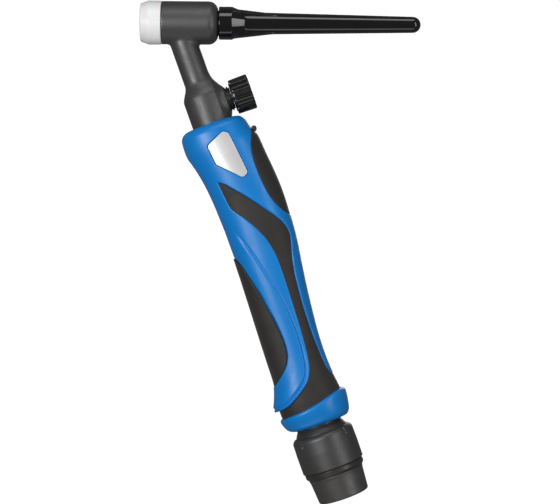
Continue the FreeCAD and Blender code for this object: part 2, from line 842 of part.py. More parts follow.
def patch(curves, side=0):
    """A prism across the grip over an outline of (down, across) curves joined end to end."""
    edges = []
    for curve in curves:
        points = [grip_point(*point) for point in curve]
        if len(points) == 2:
            edges.append(Part.LineSegment(*points).toShape())
        else:
            spline = Part.BSplineCurve()
            spline.interpolate(points)
            edges.append(spline.toShape())
    face = Part.Face(Part.Wire(edges))
    face.translate(FreeCAD.Vector(0, 0 if side > 0 else -REACH, 0))
    return face.extrude(FreeCAD.Vector(0, REACH if side else 2 * REACH, 0))


# Outlines on the side view of the grip, as (share of its length down, share of its width across).
SIDE_INLAY_PALM_EDGE = [(0.185, 0.18), (0.244, 0.205), (0.271, 0.22), (0.315, 0.34), (0.387, 0.53),
                        (0.458, 0.64), (0.577, 0.70), (0.685, 0.73), (0.768, 0.71), (0.839, 0.64),
                        (0.887, 0.39), (0.911, 0.20), (0.928, -0.10)]
SIDE_INLAY_FRONT_EDGE = [(0.185, 0.18), (0.268, 0.52), (0.339, 0.78), (0.378, 0.895), (0.411, 0.91),
                         (0.482, 0.87), (0.589, 0.86), (0.685, 0.885), (0.786, 0.92), (0.839, 0.96),
                         (0.875, 1.10)]
PALM_INLAY_EDGE = [(0.405, -0.10), (0.458, 0.09), (0.53, 0.19), (0.601, 0.28), (0.673, 0.355),
                   (0.744, 0.39), (0.792, 0.31), (0.827, 0.12), (0.853, -0.10)]
BLANK_EDGE = [(0.045, 1.10), (0.065, 0.95), (0.09, 0.875), (0.137, 0.81), (0.179, 0.785),
              (0.256, 0.785), (0.301, 0.84), (0.333, 0.93), (0.365, 1.10)]
LABEL_CORNERS = [(0.038, 0.585), (0.046, 0.66), (0.18, 0.665), (0.197, 0.585), (0.131, 0.30), (0.064, 0.30)]
LABEL_CORNER_RADIUS = 1.6
OUTSIDE = 0.10  # how far past the silhouette an outline closes


def side_inlay_patch(side):
    low = [SIDE_INLAY_PALM_EDGE[-1], (1.0, -OUTSIDE)]
    across = [(1.0, -OUTSIDE), (1.0, 1 + OUTSIDE)]
    high = [(1.0, 1 + OUTSIDE), SIDE_INLAY_FRONT_EDGE[-1]]
    return patch([SIDE_INLAY_PALM_EDGE, low, across, high, SIDE_INLAY_FRONT_EDGE[::-1]], side)


def palm_inlay_patch():
    return patch([PALM_INLAY_EDGE, [PALM_INLAY_EDGE[-1], PALM_INLAY_EDGE[0]]])


def blank_patch():
    return patch([BLANK_EDGE, [BLANK_EDGE[-1], BLANK_EDGE[0]]])


def label_patch(side):
    corners = LABEL_CORNERS + LABEL_CORNERS[:1]
    prism = patch([list(pair) for pair in zip(corners, corners[1:])], side)
    uprights = [edge for edge in prism.Edges if abs(edge.tangentAt(edge.FirstParameter).y) > 0.99]
    return prism.makeFillet(LABEL_CORNER_RADIUS, uprights)


def screw_places():
    """(x, z) of the two screws that join the shells, clear of the connector above and the cable below."""
    post = SCREW_POST
    upper_x = CONNECTOR_SLEEVE + "post_gap" + post
    upper_z = size("thread_length") + "hex_length" + "post_gap" + post
    lower_x = -size("cable_way_radius") - post
    lower_z = SOLE + "lower_screw_rise"
    return [(upper_x.number, upper_z.number), (lower_x.number, lower_z.number)]


def rod_across(radius, x, z, start, end):
    """A round rod along Y."""
    return Part.makeCylinder(radius, end - start, FreeCAD.Vector(x, start, z), FreeCAD.Vector(0, 1, 0))


def grip_outside():
    """The grip's outer form: the lofted body above the collar and the round spigot inside it."""
    body = skin(0).common(slab(SOLE.number - 1, MOUTH.number))
    top_edges = [edge for edge in body.Edges if abs(edge.CenterOfMass.z - MOUTH.number) < 0.5]
    body = body.makeFillet(size("mouth_round").number, top_edges)
    body = body.cut(below_collar_edge())
    return body.fuse(spigot(SOLE.number, SOLE.number + REACH / 3).common(below_collar_edge()))


def grip_inside():
    """Everything that is hollow in the grip: cavity, mouth, and the seat of the swivel ball."""
    ceiling = MOUTH.number - size("mouth_wall").number
    gap = size("flange_gap").number
    lip_top = SOLE.number + size("ball_lip").number
    seat_top = lip_top + size("ball_flange_height").number + 2 * gap
    deck_top = seat_top + size("grip_wall").number
    cavity = skin(size("grip_wall").number).common(slab(deck_top + REACH / 6, ceiling))
    room = SPIGOT.number - size("grip_wall").number
    cavity = cavity.fuse(round_rod(room, deck_top, deck_top + REACH / 6))
    mouth = round_rod(BULGE_RADIUS.number, JACKET_LOW.number, MOUTH.number + 1)
    neck = round_rod(BALL_NECK.number + gap, SOLE.number - 1, seat_top)
    seat = round_rod(BALL_FLANGE.number + gap, lip_top, seat_top)
    deck = round_rod(size("ball_bore").number, SOLE.number, deck_top + 1)
    return cavity.multiFuse([mouth, neck, seat, deck])


def screw_bosses():
    """Posts inside the grip that the screws go through."""
    posts = [rod_across(SCREW_POST.number, x, z, -REACH, REACH) for x, z in screw_places()]
    within = skin(size("inlay_depth").number / 2).common(slab(SOLE.number, MOUTH.number))
    return posts[0].fuse(posts[1]).common(within)


def grip_surface(x, z):
    """Y of the grip's outer surface on the +Y side."""
    palm, front, half = grip_at(z)
    share = min(1.0, abs(2 * x - palm - front) / (front - palm))
    return half * (1 - share ** SECTION_POWER) ** (1 / SECTION_POWER)


def screw_head_face(x, z):
    """Y of the flat under a screw's head, which lies inside the surface on both sides of the head."""
    reach = size("screw_head_radius").number + size("knob_gap").number
    lowest = min(grip_surface(x - reach, z), grip_surface(x + reach, z))
    return lowest - size("screw_sink").number - size("screw_head_height").number


def screw_shape(x, z, gap=0.0):
    """A pan-head screw along Y, its head towards +Y; a gap makes the hole for it."""
    face = screw_head_face(x, z)
    shank = rod_across(size("screw_radius").number, x, z, -size("screw_reach").number, face)
    high = face + size("screw_head_height").number + (REACH if gap else 0.0)
    head = rod_across(size("screw_head_radius").number + gap, x, z, face, high)
    return shank.fuse(head)


def shell_screws():
    """The two screws that join the shells, each with a cross slot in its head."""
    shapes = []
    width = size("screw_slot_width").number
    depth = size("screw_slot_depth").number
    for x, z in screw_places():
        top = screw_head_face(x, z) + size("screw_head_height").number
        radius = size("screw_head_radius").number
        corner = FreeCAD.Vector(x - 0.7 * radius, top - depth, z - width / 2)
        slot = Part.makeBox(1.4 * radius, depth, width, corner)
        other = slot.rotated(FreeCAD.Vector(x, top, z), FreeCAD.Vector(0, 1, 0), 90)
        shapes.append(screw_shape(x, z).cut(slot).cut(other))
    return made("shell_screws", Part.makeCompound(shapes))


def grip_pieces():
    """The two shells, their soft inlays, the switch blank, the labels and the screws."""
    outside = grip_outside()
    floor = skin(size("inlay_depth").number)
    label_floor = skin(size("label_depth").number)
    low = SOLE.number
    high = MOUTH.number
    upper = slab(low, high).cut(below_collar_edge())
    inlay_skin = skin(size("inlay_recess").number).common(upper)
    label_skin = skin(size("label_recess").number).common(upper)
    holes = [screw_shape(x, z, size("knob_gap").number) for x, z in screw_places()]
    whole = outside.cut(grip_inside().cut(screw_bosses()))
    palm = palm_inlay_patch()
    blank = blank_patch()
    sides = {-1: "left", 1: "right"}
    patches = {side: side_inlay_patch(side).cut(palm) for side in sides}
    labels = {side: label_patch(side) for side in sides}
    made("palm_inlay", palm.common(inlay_skin).cut(floor))
    tab = blank_tab(floor)
    made("switch_blank", blank.common(outside.common(upper)).cut(floor).fuse(tab))
    for side, name in sides.items():
        pocket = outside.cut(floor).common(patches[side].fuse(palm).fuse(blank)).common(upper)
        label_pocket = outside.cut(label_floor).common(labels[side])
        shell = whole.common(slab(low - 1, high + 1, side)).cut(pocket).cut(label_pocket).cut(tab)
        for hole in holes:
            shell = shell.cut(hole)
        made(f"grip_shell_{name}", shell)
        made(f"side_inlay_{name}", patches[side].common(inlay_skin).cut(floor))
        made(f"label_plate_{name}", labels[side].common(label_skin).cut(label_floor))
    shell_screws()


def blank_tab(floor):
    """Small finger tab at the top of the switch blank."""
    height = MOUTH.number - size("tab_below_mouth").number
    half = size("tab_half").number
    _, front, _ = grip_at(height)
    tab = rod_across(size("tab_radius").number, front - size("tab_sink").number, height, -half, half)
    ends = [edge for edge in tab.Edges if isinstance(edge.Curve, Part.Circle)]
    return tab.makeFillet(size("tab_round").number, ends).cut(floor)


def end_collar():
    """The blue collar round the shells' ends, with a sloping top edge and a drawn-in lower rim."""
    palm, front, half = ((SPIGOT + f"collar_{side}_wall").number for side in ("palm", "front", "side"))
    palm = -palm
    draft = size("collar_draft").number
    rise = size("spigot_rise").number
    low = SOLE.number
    rows = [
        (low, palm, front, half, draft),
        (low + 0.25 * rise, palm, front, half, 0.35 * draft),
        (low + 0.7 * rise, palm, front, half, 0.0),
        (low + 1.4 * rise, palm, front, half, 0.0),
        (low + 2.6 * rise, palm, front, half, 0.2 * draft),
    ]
    outer = Part.makeLoft([section(*row) for row in rows], True, False)
    body = outer.common(below_collar_edge())
    top = max(body.Faces, key=lambda face: face.CenterOfMass.z)
    body = body.makeChamfer(size("collar_chamfer").number, top.Edges)
    return made("end_collar", body.cut(spigot(low - 1, low + REACH)))


# ---------------------------------------------------------------- cable swivel

def swivel_ball():
    """Ball that turns in the grip's end: flange, neck and a ball with a bore for the cable."""
    flange_low = SOLE + "ball_lip" + "flange_gap"
    flange_high = flange_low + "ball_flange_height"
    neck = turned("ball_neck", [
        (0, BALL),
        (BALL_NECK, BALL),
        (BALL_NECK, flange_low),
        (BALL_FLANGE, flange_low),
        (BALL_FLANGE, flange_high),
        (0, flange_high),
    ])
    ball = doc.addObject("Part::Sphere", "ball_sphere")
    bind(ball, "Radius", BALL_RADIUS)
    bind(ball, "Angle1", -size("ball_low_angle"))
    on_stem(ball, BALL)
    bore = on_stem(cylinder("ball_bore", "ball_bore", flange_high - BALL + BALL_RADIUS * 2),
                   BALL - BALL_RADIUS * 2)
    return cut("swivel_ball", fuse("ball_outside", [neck, ball]), [bore])


def swivel_socket():
    """Snap socket round the ball, with slots in its rim."""
    rim = BALL + "socket_above"
    body = turned("socket_turned", [
        (0, SOCKET_END),
        (SOCKET_RADIUS, SOCKET_END),
        (SOCKET_RADIUS, rim),
        (0, rim),
    ])
    rounded(body, "socket_round", [(SOCKET_RADIUS, rim)])
    hollow = doc.addObject("Part::Sphere", "socket_hollow")
    bind(hollow, "Radius", HOLLOW_RADIUS)
    on_stem(hollow, BALL)
    throat = on_stem(cylinder("socket_throat_hole", THROAT, BALL - SOCKET_END), SOCKET_END)
    slots = []
    for number in range(int(size("rim_slot_count").number)):
        slots.append(rim_slot(number))
    return cut("swivel_socket", body, [hollow, throat] + slots)


def rim_slot(number):
    """One slot down from the socket's rim; the count spaces them evenly."""
    item = doc.addObject("Part::Box", f"rim_slot_{number}")
    bind(item, "Length", SOCKET_RADIUS)
    bind(item, "Width", "rim_slot_width")
    bind(item, "Height", size("rim_slot_depth") * 2)
    turn = 360.0 * (number + 0.5) / size("rim_slot_count").number
    angle = math.radians(turn)
    item.Placement.Rotation = FreeCAD.Rotation(FreeCAD.Vector(0, 0, 1), turn)
    half = size("rim_slot_width") * 0.5
    bind(item, "Placement.Base.x", half * math.sin(angle) + size("ball_bore") * math.cos(angle))
    bind(item, "Placement.Base.y", -(half * math.cos(angle)) + size("ball_bore") * math.sin(angle))
    bind(item, "Placement.Base.z", BALL + "socket_above" - "rim_slot_depth")
    return item


def lock_ring():
    """Ring clamped between the socket and the cable sleeve."""
    ring_radius = SOCKET_RADIUS - "lock_ring_step"
    return turned("lock_ring", [
        (THROAT, SOCKET_END),
        (ring_radius, SOCKET_END),
        (ring_radius, RING_END + "lock_ring_chamfer"),
        (ring_radius - "lock_ring_chamfer", RING_END),
        (THROAT, RING_END),
    ])


def cable_sleeve():
    """Tapered sleeve that clamps the cable's cover, open at its lower end."""
    end_radius = SLEEVE_BORE + "sleeve_end_wall"
    body = turned("cable_sleeve", [
        (SLEEVE_BORE, CABLE_END),
        (end_radius, CABLE_END),
        (SLEEVE_BORE + "sleeve_top_wall", RING_END),
        (THROAT, RING_END),
        (THROAT, SLEEVE_HIGH),
        (SLEEVE_BORE, SLEEVE_HIGH),
    ])
    return rounded(body, "sleeve_round", [(end_radius, CABLE_END)])


# ---------------------------------------------------------------- build, check and write

head_core()
neck_tube()
head_jacket()
front_gasket()
back_cap()
back_cap_stud()
back_cap_o_ring()
valve_block()
tail_stud()
tail_insulator()
valve_bonnet()
valve_stem()
valve_stem_seals()
valve_knob()
grip_pieces()
end_collar()
swivel_ball()
swivel_socket()
lock_ring()
cable_sleeve()
doc.recompute()

NODES = (
    "head_core", "neck_tube", "head_jacket", "front_gasket", "back_cap", "back_cap_stud", "back_cap_o_ring",
    "valve_block", "tail_stud", "tail_insulator", "valve_bonnet", "valve_stem", "valve_stem_seals",
    "valve_knob", "grip_shell_left", "grip_shell_right", "side_inlay_left", "side_inlay_right", "palm_inlay",
    "switch_blank", "label_plate_left", "label_plate_right", "shell_screws", "end_collar", "swivel_ball",
    "swivel_socket", "lock_ring", "cable_sleeve",
)

for item in doc.Objects:
    if "Invalid" in item.State or "Error" in item.State:
        raise RuntimeError(f"{item.Label}: {item.State}")
os.makedirs("parts", exist_ok=True)
for node in NODES:
    item = doc.getObjectsByLabel(node)[0]
    if item.Shape.isNull() or not item.Shape.isValid():
        raise RuntimeError(f"{node}: bad shape")
    item.Shape.exportStep(f"parts/{node}.step")
    print(f"{node}: {len(item.Shape.Solids)} solid(s), {item.Shape.Volume / 1000:.2f} cm3")
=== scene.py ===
"""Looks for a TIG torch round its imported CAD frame. Lengths below are millimetres in the CAD frame."""

import json
import math

import bpy
import numpy as np
from mathutils import Matrix, Vector


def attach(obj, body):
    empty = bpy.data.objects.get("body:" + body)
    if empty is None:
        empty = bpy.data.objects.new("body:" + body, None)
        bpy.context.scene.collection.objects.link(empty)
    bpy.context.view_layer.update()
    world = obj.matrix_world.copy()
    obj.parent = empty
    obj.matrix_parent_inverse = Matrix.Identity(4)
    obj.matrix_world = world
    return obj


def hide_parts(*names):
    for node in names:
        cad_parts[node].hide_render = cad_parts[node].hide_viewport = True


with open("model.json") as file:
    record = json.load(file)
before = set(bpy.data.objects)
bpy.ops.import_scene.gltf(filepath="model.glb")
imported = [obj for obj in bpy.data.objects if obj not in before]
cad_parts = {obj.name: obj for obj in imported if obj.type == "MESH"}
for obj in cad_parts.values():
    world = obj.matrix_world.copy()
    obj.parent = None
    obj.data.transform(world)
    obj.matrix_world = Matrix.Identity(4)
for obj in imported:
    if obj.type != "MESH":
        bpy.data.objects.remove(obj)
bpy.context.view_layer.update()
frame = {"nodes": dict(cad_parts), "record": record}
MM = 0.001

# ---------------------------------------------------------------- places, as the CAD has them

TILT = math.radians(20)
# heights on the stem's axis
HEAD = 116.0
VALVE = 68.7
MOUTH = 59.0
SOLE = -109.0
BALL = -119.0
SOCKET_END = -132.7
RING_END = -136.4
CABLE_END = -150.0
STEM_AXIS = ((0, 0, 0), (0, 0, 1))
HEAD_AXIS = ((0, 0, HEAD), (-math.cos(TILT), 0, math.sin(TILT)))
VALVE_AXIS = ((0, 0, VALVE), (1, 0, 0))
# heights on the head's axis
BARREL_REAR = -22.2
BARREL_FRONT = 7.9
CAP_FACE = BARREL_REAR - 0.3


# ---------------------------------------------------------------- materials

# a noise texture mostly stays between these, so colour and roughness vary over this span
NOISE_SPAN = (0.3, 0.7)
PATCH_SIZE = 14.0
SMUDGE_SIZE = 5.0
# the length over which a band texture of scale 1 repeats
BAND_SPAN = 0.314


def socket(node, name, value):
    node.inputs[name].default_value = value


def material(name, color, roughness, grain=0.0, grain_size=0.5, mottle=0.08, rough_vary=0.05,
             ring_axis="Z", ring_size=0.3, ring_depth=0.0, **sockets):
    """A finish with a mottled colour, an uneven roughness, and a fine grain or turned rings."""
    made = bpy.data.materials.new(name)
    made.use_nodes = True
    nodes, links = made.node_tree.nodes, made.node_tree.links
    shader = nodes["Principled BSDF"]
    for key, value in sockets.items():
        socket(shader, key.replace("_", " "), value)
    place = nodes.new("ShaderNodeTexCoord")

    def noise(size, detail):
        node = nodes.new("ShaderNodeTexNoise")
        socket(node, "Scale", 1 / (size * MM))
        socket(node, "Detail", detail)
        links.new(place.outputs["Object"], node.inputs["Vector"])
        return node

    patches = noise(PATCH_SIZE, 3.0)
    ramp = nodes.new("ShaderNodeValToRGB")
    for element, at, share in zip(ramp.color_ramp.elements, NOISE_SPAN, (1 - mottle, 1 + mottle)):
        element.position = at
        element.color = (*(min(1.0, part * share) for part in color), 1)
    links.new(patches.outputs["Fac"], ramp.inputs["Fac"])
    links.new(ramp.outputs["Color"], shader.inputs["Base Color"])
    smudges = noise(SMUDGE_SIZE, 5.0)
    span = nodes.new("ShaderNodeMapRange")
    socket(span, "From Min", NOISE_SPAN[0])
    socket(span, "From Max", NOISE_SPAN[1])
    socket(span, "To Min", max(0.02, roughness - rough_vary))
    socket(span, "To Max", min(1.0, roughness + rough_vary))
    links.new(smudges.outputs["Fac"], span.inputs["Value"])
    links.new(span.outputs["Result"], shader.inputs["Roughness"])
    normal = None
    if grain:
        normal = nodes.new("ShaderNodeBump")
        socket(normal, "Strength", 1.0)
        socket(normal, "Distance", grain * MM)
        links.new(noise(grain_size, 2.0).outputs["Fac"], normal.inputs["Height"])
    if ring_depth:
        wave = nodes.new("ShaderNodeTexWave")
        wave.wave_type = "BANDS"
        wave.bands_direction = ring_axis
        socket(wave, "Scale", BAND_SPAN / (ring_size * MM))
        socket(wave, "Distortion", 0.4)
        socket(wave, "Detail", 1.0)
        links.new(place.outputs["Object"], wave.inputs["Vector"])
        rings = nodes.new("ShaderNodeBump")
        socket(rings, "Distance", ring_depth * MM)
        links.new(wave.outputs["Fac"], rings.inputs["Height"])
        if normal:
            links.new(normal.outputs["Normal"], rings.inputs["Normal"])
        normal = rings
    if normal:
        links.new(normal.outputs["Normal"], shader.inputs["Normal"])
    return made


BLUE = (0.0008, 0.200, 0.60)
FINISHES = {
    "jacket_black": dict(color=(0.034, 0.032, 0.0315), roughness=0.46, grain=0.035, grain_size=0.45,
                         mottle=0.12, Specular_IOR_Level=0.95),
    "gasket_white": dict(color=(0.86, 0.86, 0.86), roughness=0.32, grain=0.006, grain_size=0.6,
                         mottle=0.02, Subsurface_Weight=0.25, Subsurface_Scale=0.002),
    "cap_gloss_black": dict(color=(0.0045, 0.0045, 0.005), roughness=0.09, grain=0.003, grain_size=1.4,
                            mottle=0.1, rough_vary=0.03, Coat_Weight=0.3, Coat_Roughness=0.05),
    "knob_gloss_black": dict(color=(0.006, 0.006, 0.0065), roughness=0.20, grain=0.006, grain_size=0.8,
                             mottle=0.1),
    "bonnet_black": dict(color=(0.016, 0.0155, 0.0155), roughness=0.33, ring_axis="X", ring_size=0.22,
                         ring_depth=0.008),
    "grip_blue": dict(color=BLUE, roughness=0.36, grain=0.010, grain_size=0.55, mottle=0.03,
                      rough_vary=0.04, Specular_IOR_Level=0.42),
    "collar_blue": dict(color=BLUE, roughness=0.33, grain=0.008, grain_size=0.55, mottle=0.03,
                        rough_vary=0.04, Specular_IOR_Level=0.42),
    "soft_black": dict(color=(0.020, 0.0165, 0.0145), roughness=0.60, grain=0.045, grain_size=0.38,
                       mottle=0.14, Specular_IOR_Level=0.42, Sheen_Weight=0.12, Sheen_Roughness=0.5),
    "blank_black": dict(color=(0.016, 0.0145, 0.0135), roughness=0.56, grain=0.045, grain_size=0.38,
                        mottle=0.14, Specular_IOR_Level=0.42, Sheen_Weight=0.1, Sheen_Roughness=0.5),
    "label_silver": dict(color=(0.70, 0.70, 0.70), roughness=0.34, mottle=0.03, rough_vary=0.02,
                         Metallic=0.3),
    "ball_black": dict(color=(0.030, 0.029, 0.028), roughness=0.38, grain=0.012, mottle=0.1),
    "socket_black": dict(color=(0.030, 0.0285, 0.028), roughness=0.45, grain=0.022, mottle=0.1,
                         Specular_IOR_Level=0.9),
    "ring_black": dict(color=(0.028, 0.026, 0.025), roughness=0.36, grain=0.012, mottle=0.1),
    "sleeve_black": dict(color=(0.038, 0.0355, 0.0345), roughness=0.46, grain=0.024, mottle=0.1,
                         Specular_IOR_Level=1.0),
    "brass_core": dict(color=(0.62, 0.42, 0.16), roughness=0.28, ring_axis="X", ring_size=0.2,
                       ring_depth=0.006, Metallic=1.0),
    "brass_stud": dict(color=(0.64, 0.44, 0.17), roughness=0.26, ring_axis="X", ring_size=0.2,
                       ring_depth=0.006, Metallic=1.0),
    "brass_stem": dict(color=(0.64, 0.44, 0.17), roughness=0.25, ring_axis="X", ring_size=0.16,
                       ring_depth=0.005, mottle=0.06, Metallic=1.0),
    "seal_rubber": dict(color=(0.018, 0.018, 0.018), roughness=0.5, grain=0.01, grain_size=0.3),
    "insulator_rubber": dict(color=(0.03, 0.03, 0.03), roughness=0.6, grain=0.02, grain_size=0.4),
    "screw_steel": dict(color=(0.55, 0.55, 0.56), roughness=0.28, ring_axis="Y", ring_size=0.2,
                        ring_depth=0.004, mottle=0.06, Metallic=1.0),
}
MATERIALS = {name: material(name, **finish) for name, finish in FINISHES.items()}
SLOT_OF = {part["node"]: part["material_slot"] for part in frame["record"]["subparts"]}
for node, held in frame["nodes"].items():
    for place in held.material_slots:
        place.material = MATERIALS[SLOT_OF[node]]


# ---------------------------------------------------------------- mesh helpers

def piece(name, points, faces, body, node, sharp=34.0, replaces=True):
    """One smooth-shaded piece from millimetre points, in the look of a CAD node."""
    mesh = bpy.data.meshes.new(name)
    mesh.from_pydata((np.asarray(points, float) * MM).tolist(), [], faces)
    mesh.materials.append(MATERIALS[SLOT_OF[node]])
    mesh.polygons.foreach_set("use_smooth", np.ones(len(mesh.polygons), bool))
    item = bpy.data.objects.new(name, mesh)
    bpy.context.scene.collection.objects.link(item)
    mesh.set_sharp_from_angle(angle=math.radians(sharp))
    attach(item, body)
    if replaces:
        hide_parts(node)
    return item


def unit(v):
    v = np.asarray(v, float)
    return v / np.maximum(1e-12, np.linalg.norm(v, axis=-1, keepdims=True))


# the most of a side that one corner's arc may take up
ARC_SHARE = 0.48


def rounded(corners, closed=True, steps=5, support=0.15):
    """Corners (across, up, radius) as a polyline with true arcs and a support point beside each arc."""
    count = len(corners)
    spots = [np.array(corner[:2], float) for corner in corners]
    line = []
    for i, (here, corner) in enumerate(zip(spots, corners)):
        radius = corner[2]
        if radius <= 0 or (not closed and i in (0, count - 1)):
            line.append(here)
            continue
        back, ahead = spots[i - 1] - here, spots[(i + 1) % count] - here
        long_back, long_ahead = np.linalg.norm(back), np.linalg.norm(ahead)
        back, ahead = back / long_back, ahead / long_ahead
        half = math.acos(max(-1, min(1, float(back @ ahead)))) / 2
        reach = min(radius / math.tan(half), ARC_SHARE * long_back, ARC_SHARE * long_ahead)
        radius = reach * math.tan(half)
        middle = here + unit(back + ahead) * radius / math.sin(half)
        start, end = here + back * reach - middle, here + ahead * reach - middle
        sweep = math.acos(max(-1, min(1, float(unit(start) @ unit(end)))))
        if long_back * ARC_SHARE > reach + support:
            line.append(here + back * (reach + support))
        for step in range(steps + 1):
            t = step / steps
            share = (math.sin((1 - t) * sweep), math.sin(t * sweep))
            line.append(middle + (start * share[0] + end * share[1]) / math.sin(sweep))
        if long_ahead * ARC_SHARE > reach + support:
            line.append(here + ahead * (reach + support))
    return np.array(line)


def dense(line, step, closed=True):
    """The polyline with no run longer than a step."""
    out = []
    count = len(line)
    for i in range(count if closed else count - 1):
        a, b = line[i], line[(i + 1) % count]
        parts = max(1, int(math.ceil(np.linalg.norm(b - a) / step)))
        out += [a + (b - a) * k / parts for k in range(parts)]
    if not closed:
        out.append(line[-1])
    return np.array(out)


def placed(axis, across, up, angle):
    """Points at a radius, height and angle about an (origin, direction) axis.

    Angle 0 is towards -Y, or towards +X when the axis lies along Y.
    """
    origin, direction = np.array(axis[0], float), unit(axis[1])
    along_y = abs(direction[1]) > 0.9
    first = np.array([1.0, 0.0, 0.0]) if along_y else np.array([0.0, -1.0, 0.0])
    second = np.cross(direction, first)
    around = np.cos(angle)[..., None] * first + np.sin(angle)[..., None] * second
    return origin + up[..., None] * direction + across[..., None] * around


def angle_from(angle, degrees):
    """The angle from a direction given in degrees, at most half a turn either way."""
    return (angle - math.radians(degrees) + math.pi) % (2 * math.pi) - math.pi


def lathe(name, line, axis, body, node, count=160, shape=None, closed=True, sharp=34.0, replaces=True):
    """A turned piece from a (radius, height) line. A shape function may bend the radii and heights."""
    line = np.asarray(line, float)
    radius, angle = np.meshgrid(line[:, 0], np.arange(count) * 2 * math.pi / count, indexing="ij")
    height = np.repeat(line[:, 1:2], count, axis=1)
    if shape:
        radius, height = shape(radius, height, angle)
    points = placed(axis, np.maximum(radius, 0), height, angle).reshape(-1, 3)
    rows = len(line)
    faces = []
    for i in range(rows if closed else rows - 1):
        low, high = i * count, ((i + 1) % rows) * count
        flat_low, flat_high = line[i, 0] < 1e-6, line[(i + 1) % rows, 0] < 1e-6
        if flat_low and flat_high:
            continue
        for j in range(count):
            k = (j + 1) % count
            face = (low + j, low + k, high + k, high + j)
            if flat_low:
                face = (low, high + k, high + j)
            elif flat_high:
                face = (low + j, low + k, high)
            faces.append(face)
    used = sorted({index for face in faces for index in face})
    renumber = {old: new for new, old in enumerate(used)}
    faces = [tuple(renumber[index] for index in face) for face in faces]
    outward(piece(name, points[used], faces, body, node, sharp=sharp, replaces=replaces))


def outward(item):
    """Turn the faces so that the closed mesh's volume is positive."""
    mesh = item.data
    mesh.calc_loop_triangles()
    spots = np.empty(len(mesh.vertices) * 3)
    mesh.vertices.foreach_get("co", spots)
    corners = np.empty(len(mesh.loop_triangles) * 3, int)
    mesh.loop_triangles.foreach_get("vertices", corners)
    a, b, c = (spots.reshape(-1, 3)[corners[k::3]] for k in range(3))
    if np.einsum("ij,ij->i", a, np.cross(b, c)).sum() < 0:
        mesh.flip_normals()


def smooth_curve(points, step=0.7):
    """A Catmull-Rom curve through the points, as a fine polyline."""
    points = np.array(points, float)
    ends = np.vstack([2 * points[0] - points[1], points, 2 * points[-1] - points[-2]])
    line = []
    for p0, p1, p2, p3 in zip(ends, ends[1:], ends[2:], ends[3:]):
        parts = max(2, int(np.linalg.norm(p2 - p1) / step))
        for k in range(parts):
            t = k / parts
            line.append(0.5 * (2 * p1 + (p2 - p0) * t + (2 * p0 - 5 * p1 + 4 * p2 - p3) * t * t
                               + (3 * p1 - p0 - 3 * p2 + p3) * t ** 3))
    line.append(points[-1])
    return np.array(line)


def smoothstep(x, low, high):
    t = np.clip((x - low) / (high - low), 0, 1)
    return t * t * (3 - 2 * t)


# ---------------------------------------------------------------- the moulded jacket, as a smooth field

def smooth_min(a, b, k):
    """The lesser of two fields, blended where they differ by less than k."""
    h = np.maximum(k - np.abs(a - b), 0) / k
    return np.minimum(a, b) - h * h * k / 4


def capped(radial, along, radius, low, high, rim=0.0):
    """Distance field of a cylinder about an axis, with a rounded rim."""
    side = radial - radius + rim
    end = np.abs(along - (low + high) / 2) - (high - low) / 2 + rim
    outer = np.sqrt(np.maximum(side, 0) ** 2 + np.maximum(end, 0) ** 2)
    return np.minimum(np.maximum(side, end), 0) + outer - rim


BARREL_RADIUS = 11.4
REAR_EDGE, FRONT_EDGE = 5.3, 0.4
NECK_RADIUS = 7.2
# the neck swells by this much between these heights
NECK_SWELL = 3.5
SWELL_TOP, SWELL_FOOT = 82.4, 73.4
STEM_FOOT = 39.0
BOSS_RADIUS = 7.0
BOSS_FACE = 11.7
BORE_FLOOR = -20.2


def jacket_field(p):
    """Distance field of the moulded jacket: a barrel on a stem, and a boss for the valve."""
    x, y, z = p[..., 0], p[..., 1], p[..., 2]
    forward = np.array(HEAD_AXIS[1])
    along = x * forward[0] + (z - HEAD) * forward[2]
    cross = x * forward[2] - (z - HEAD) * forward[0]
    head_radial = np.sqrt(cross ** 2 + y ** 2)
    stem_radial = np.sqrt(x ** 2 + y ** 2)
    boss_radial = np.sqrt(y ** 2 + (z - VALVE) ** 2)
    middle = (BARREL_REAR + BARREL_FRONT) / 2
    # the rear edge of the barrel has the larger rounding
    rim = np.where(along < middle, REAR_EDGE, FRONT_EDGE)
    barrel = capped(head_radial, along, BARREL_RADIUS, BARREL_REAR, BARREL_FRONT, rim)
    stem_radius = NECK_RADIUS + NECK_SWELL * smoothstep(-z, -SWELL_TOP, -SWELL_FOOT)
    stem = np.maximum((stem_radial - stem_radius) * 0.9, np.maximum(STEM_FOOT - z, z - HEAD))
    boss = capped(boss_radial, x, BOSS_RADIUS, 0.0, BOSS_FACE, 0.9)
    # a narrow cone that widens from the boss down to the stem
    flat_radial = np.sqrt((1.65 * y) ** 2 + (z - VALVE) ** 2)
    fairing_radius = np.clip(6.4 + (BOSS_FACE - x) * 1.4, 6.4, 13.0)
    fairing = np.maximum((flat_radial - fairing_radius) * 0.5, np.maximum(-x, x - 11.2))
    body = smooth_min(stem, barrel, 1.6)
    body = smooth_min(body, smooth_min(boss, fairing, 1.2), 3.2)
    hollows = [
        capped(head_radial, along, 8.5, BORE_FLOOR, BARREL_FRONT + 2),
        capped(head_radial, along, 7.6, BARREL_REAR - 2, -20.0),
        capped(stem_radial, z, 4.5, 70.0, 109.0),
        capped(stem_radial, z, 8.7, 30.0, 77.0),
        capped(boss_radial, x, 5.3, 2.0, 14.0),
    ]
    for hollow in hollows:
        body = np.maximum(body, -hollow)
    return body


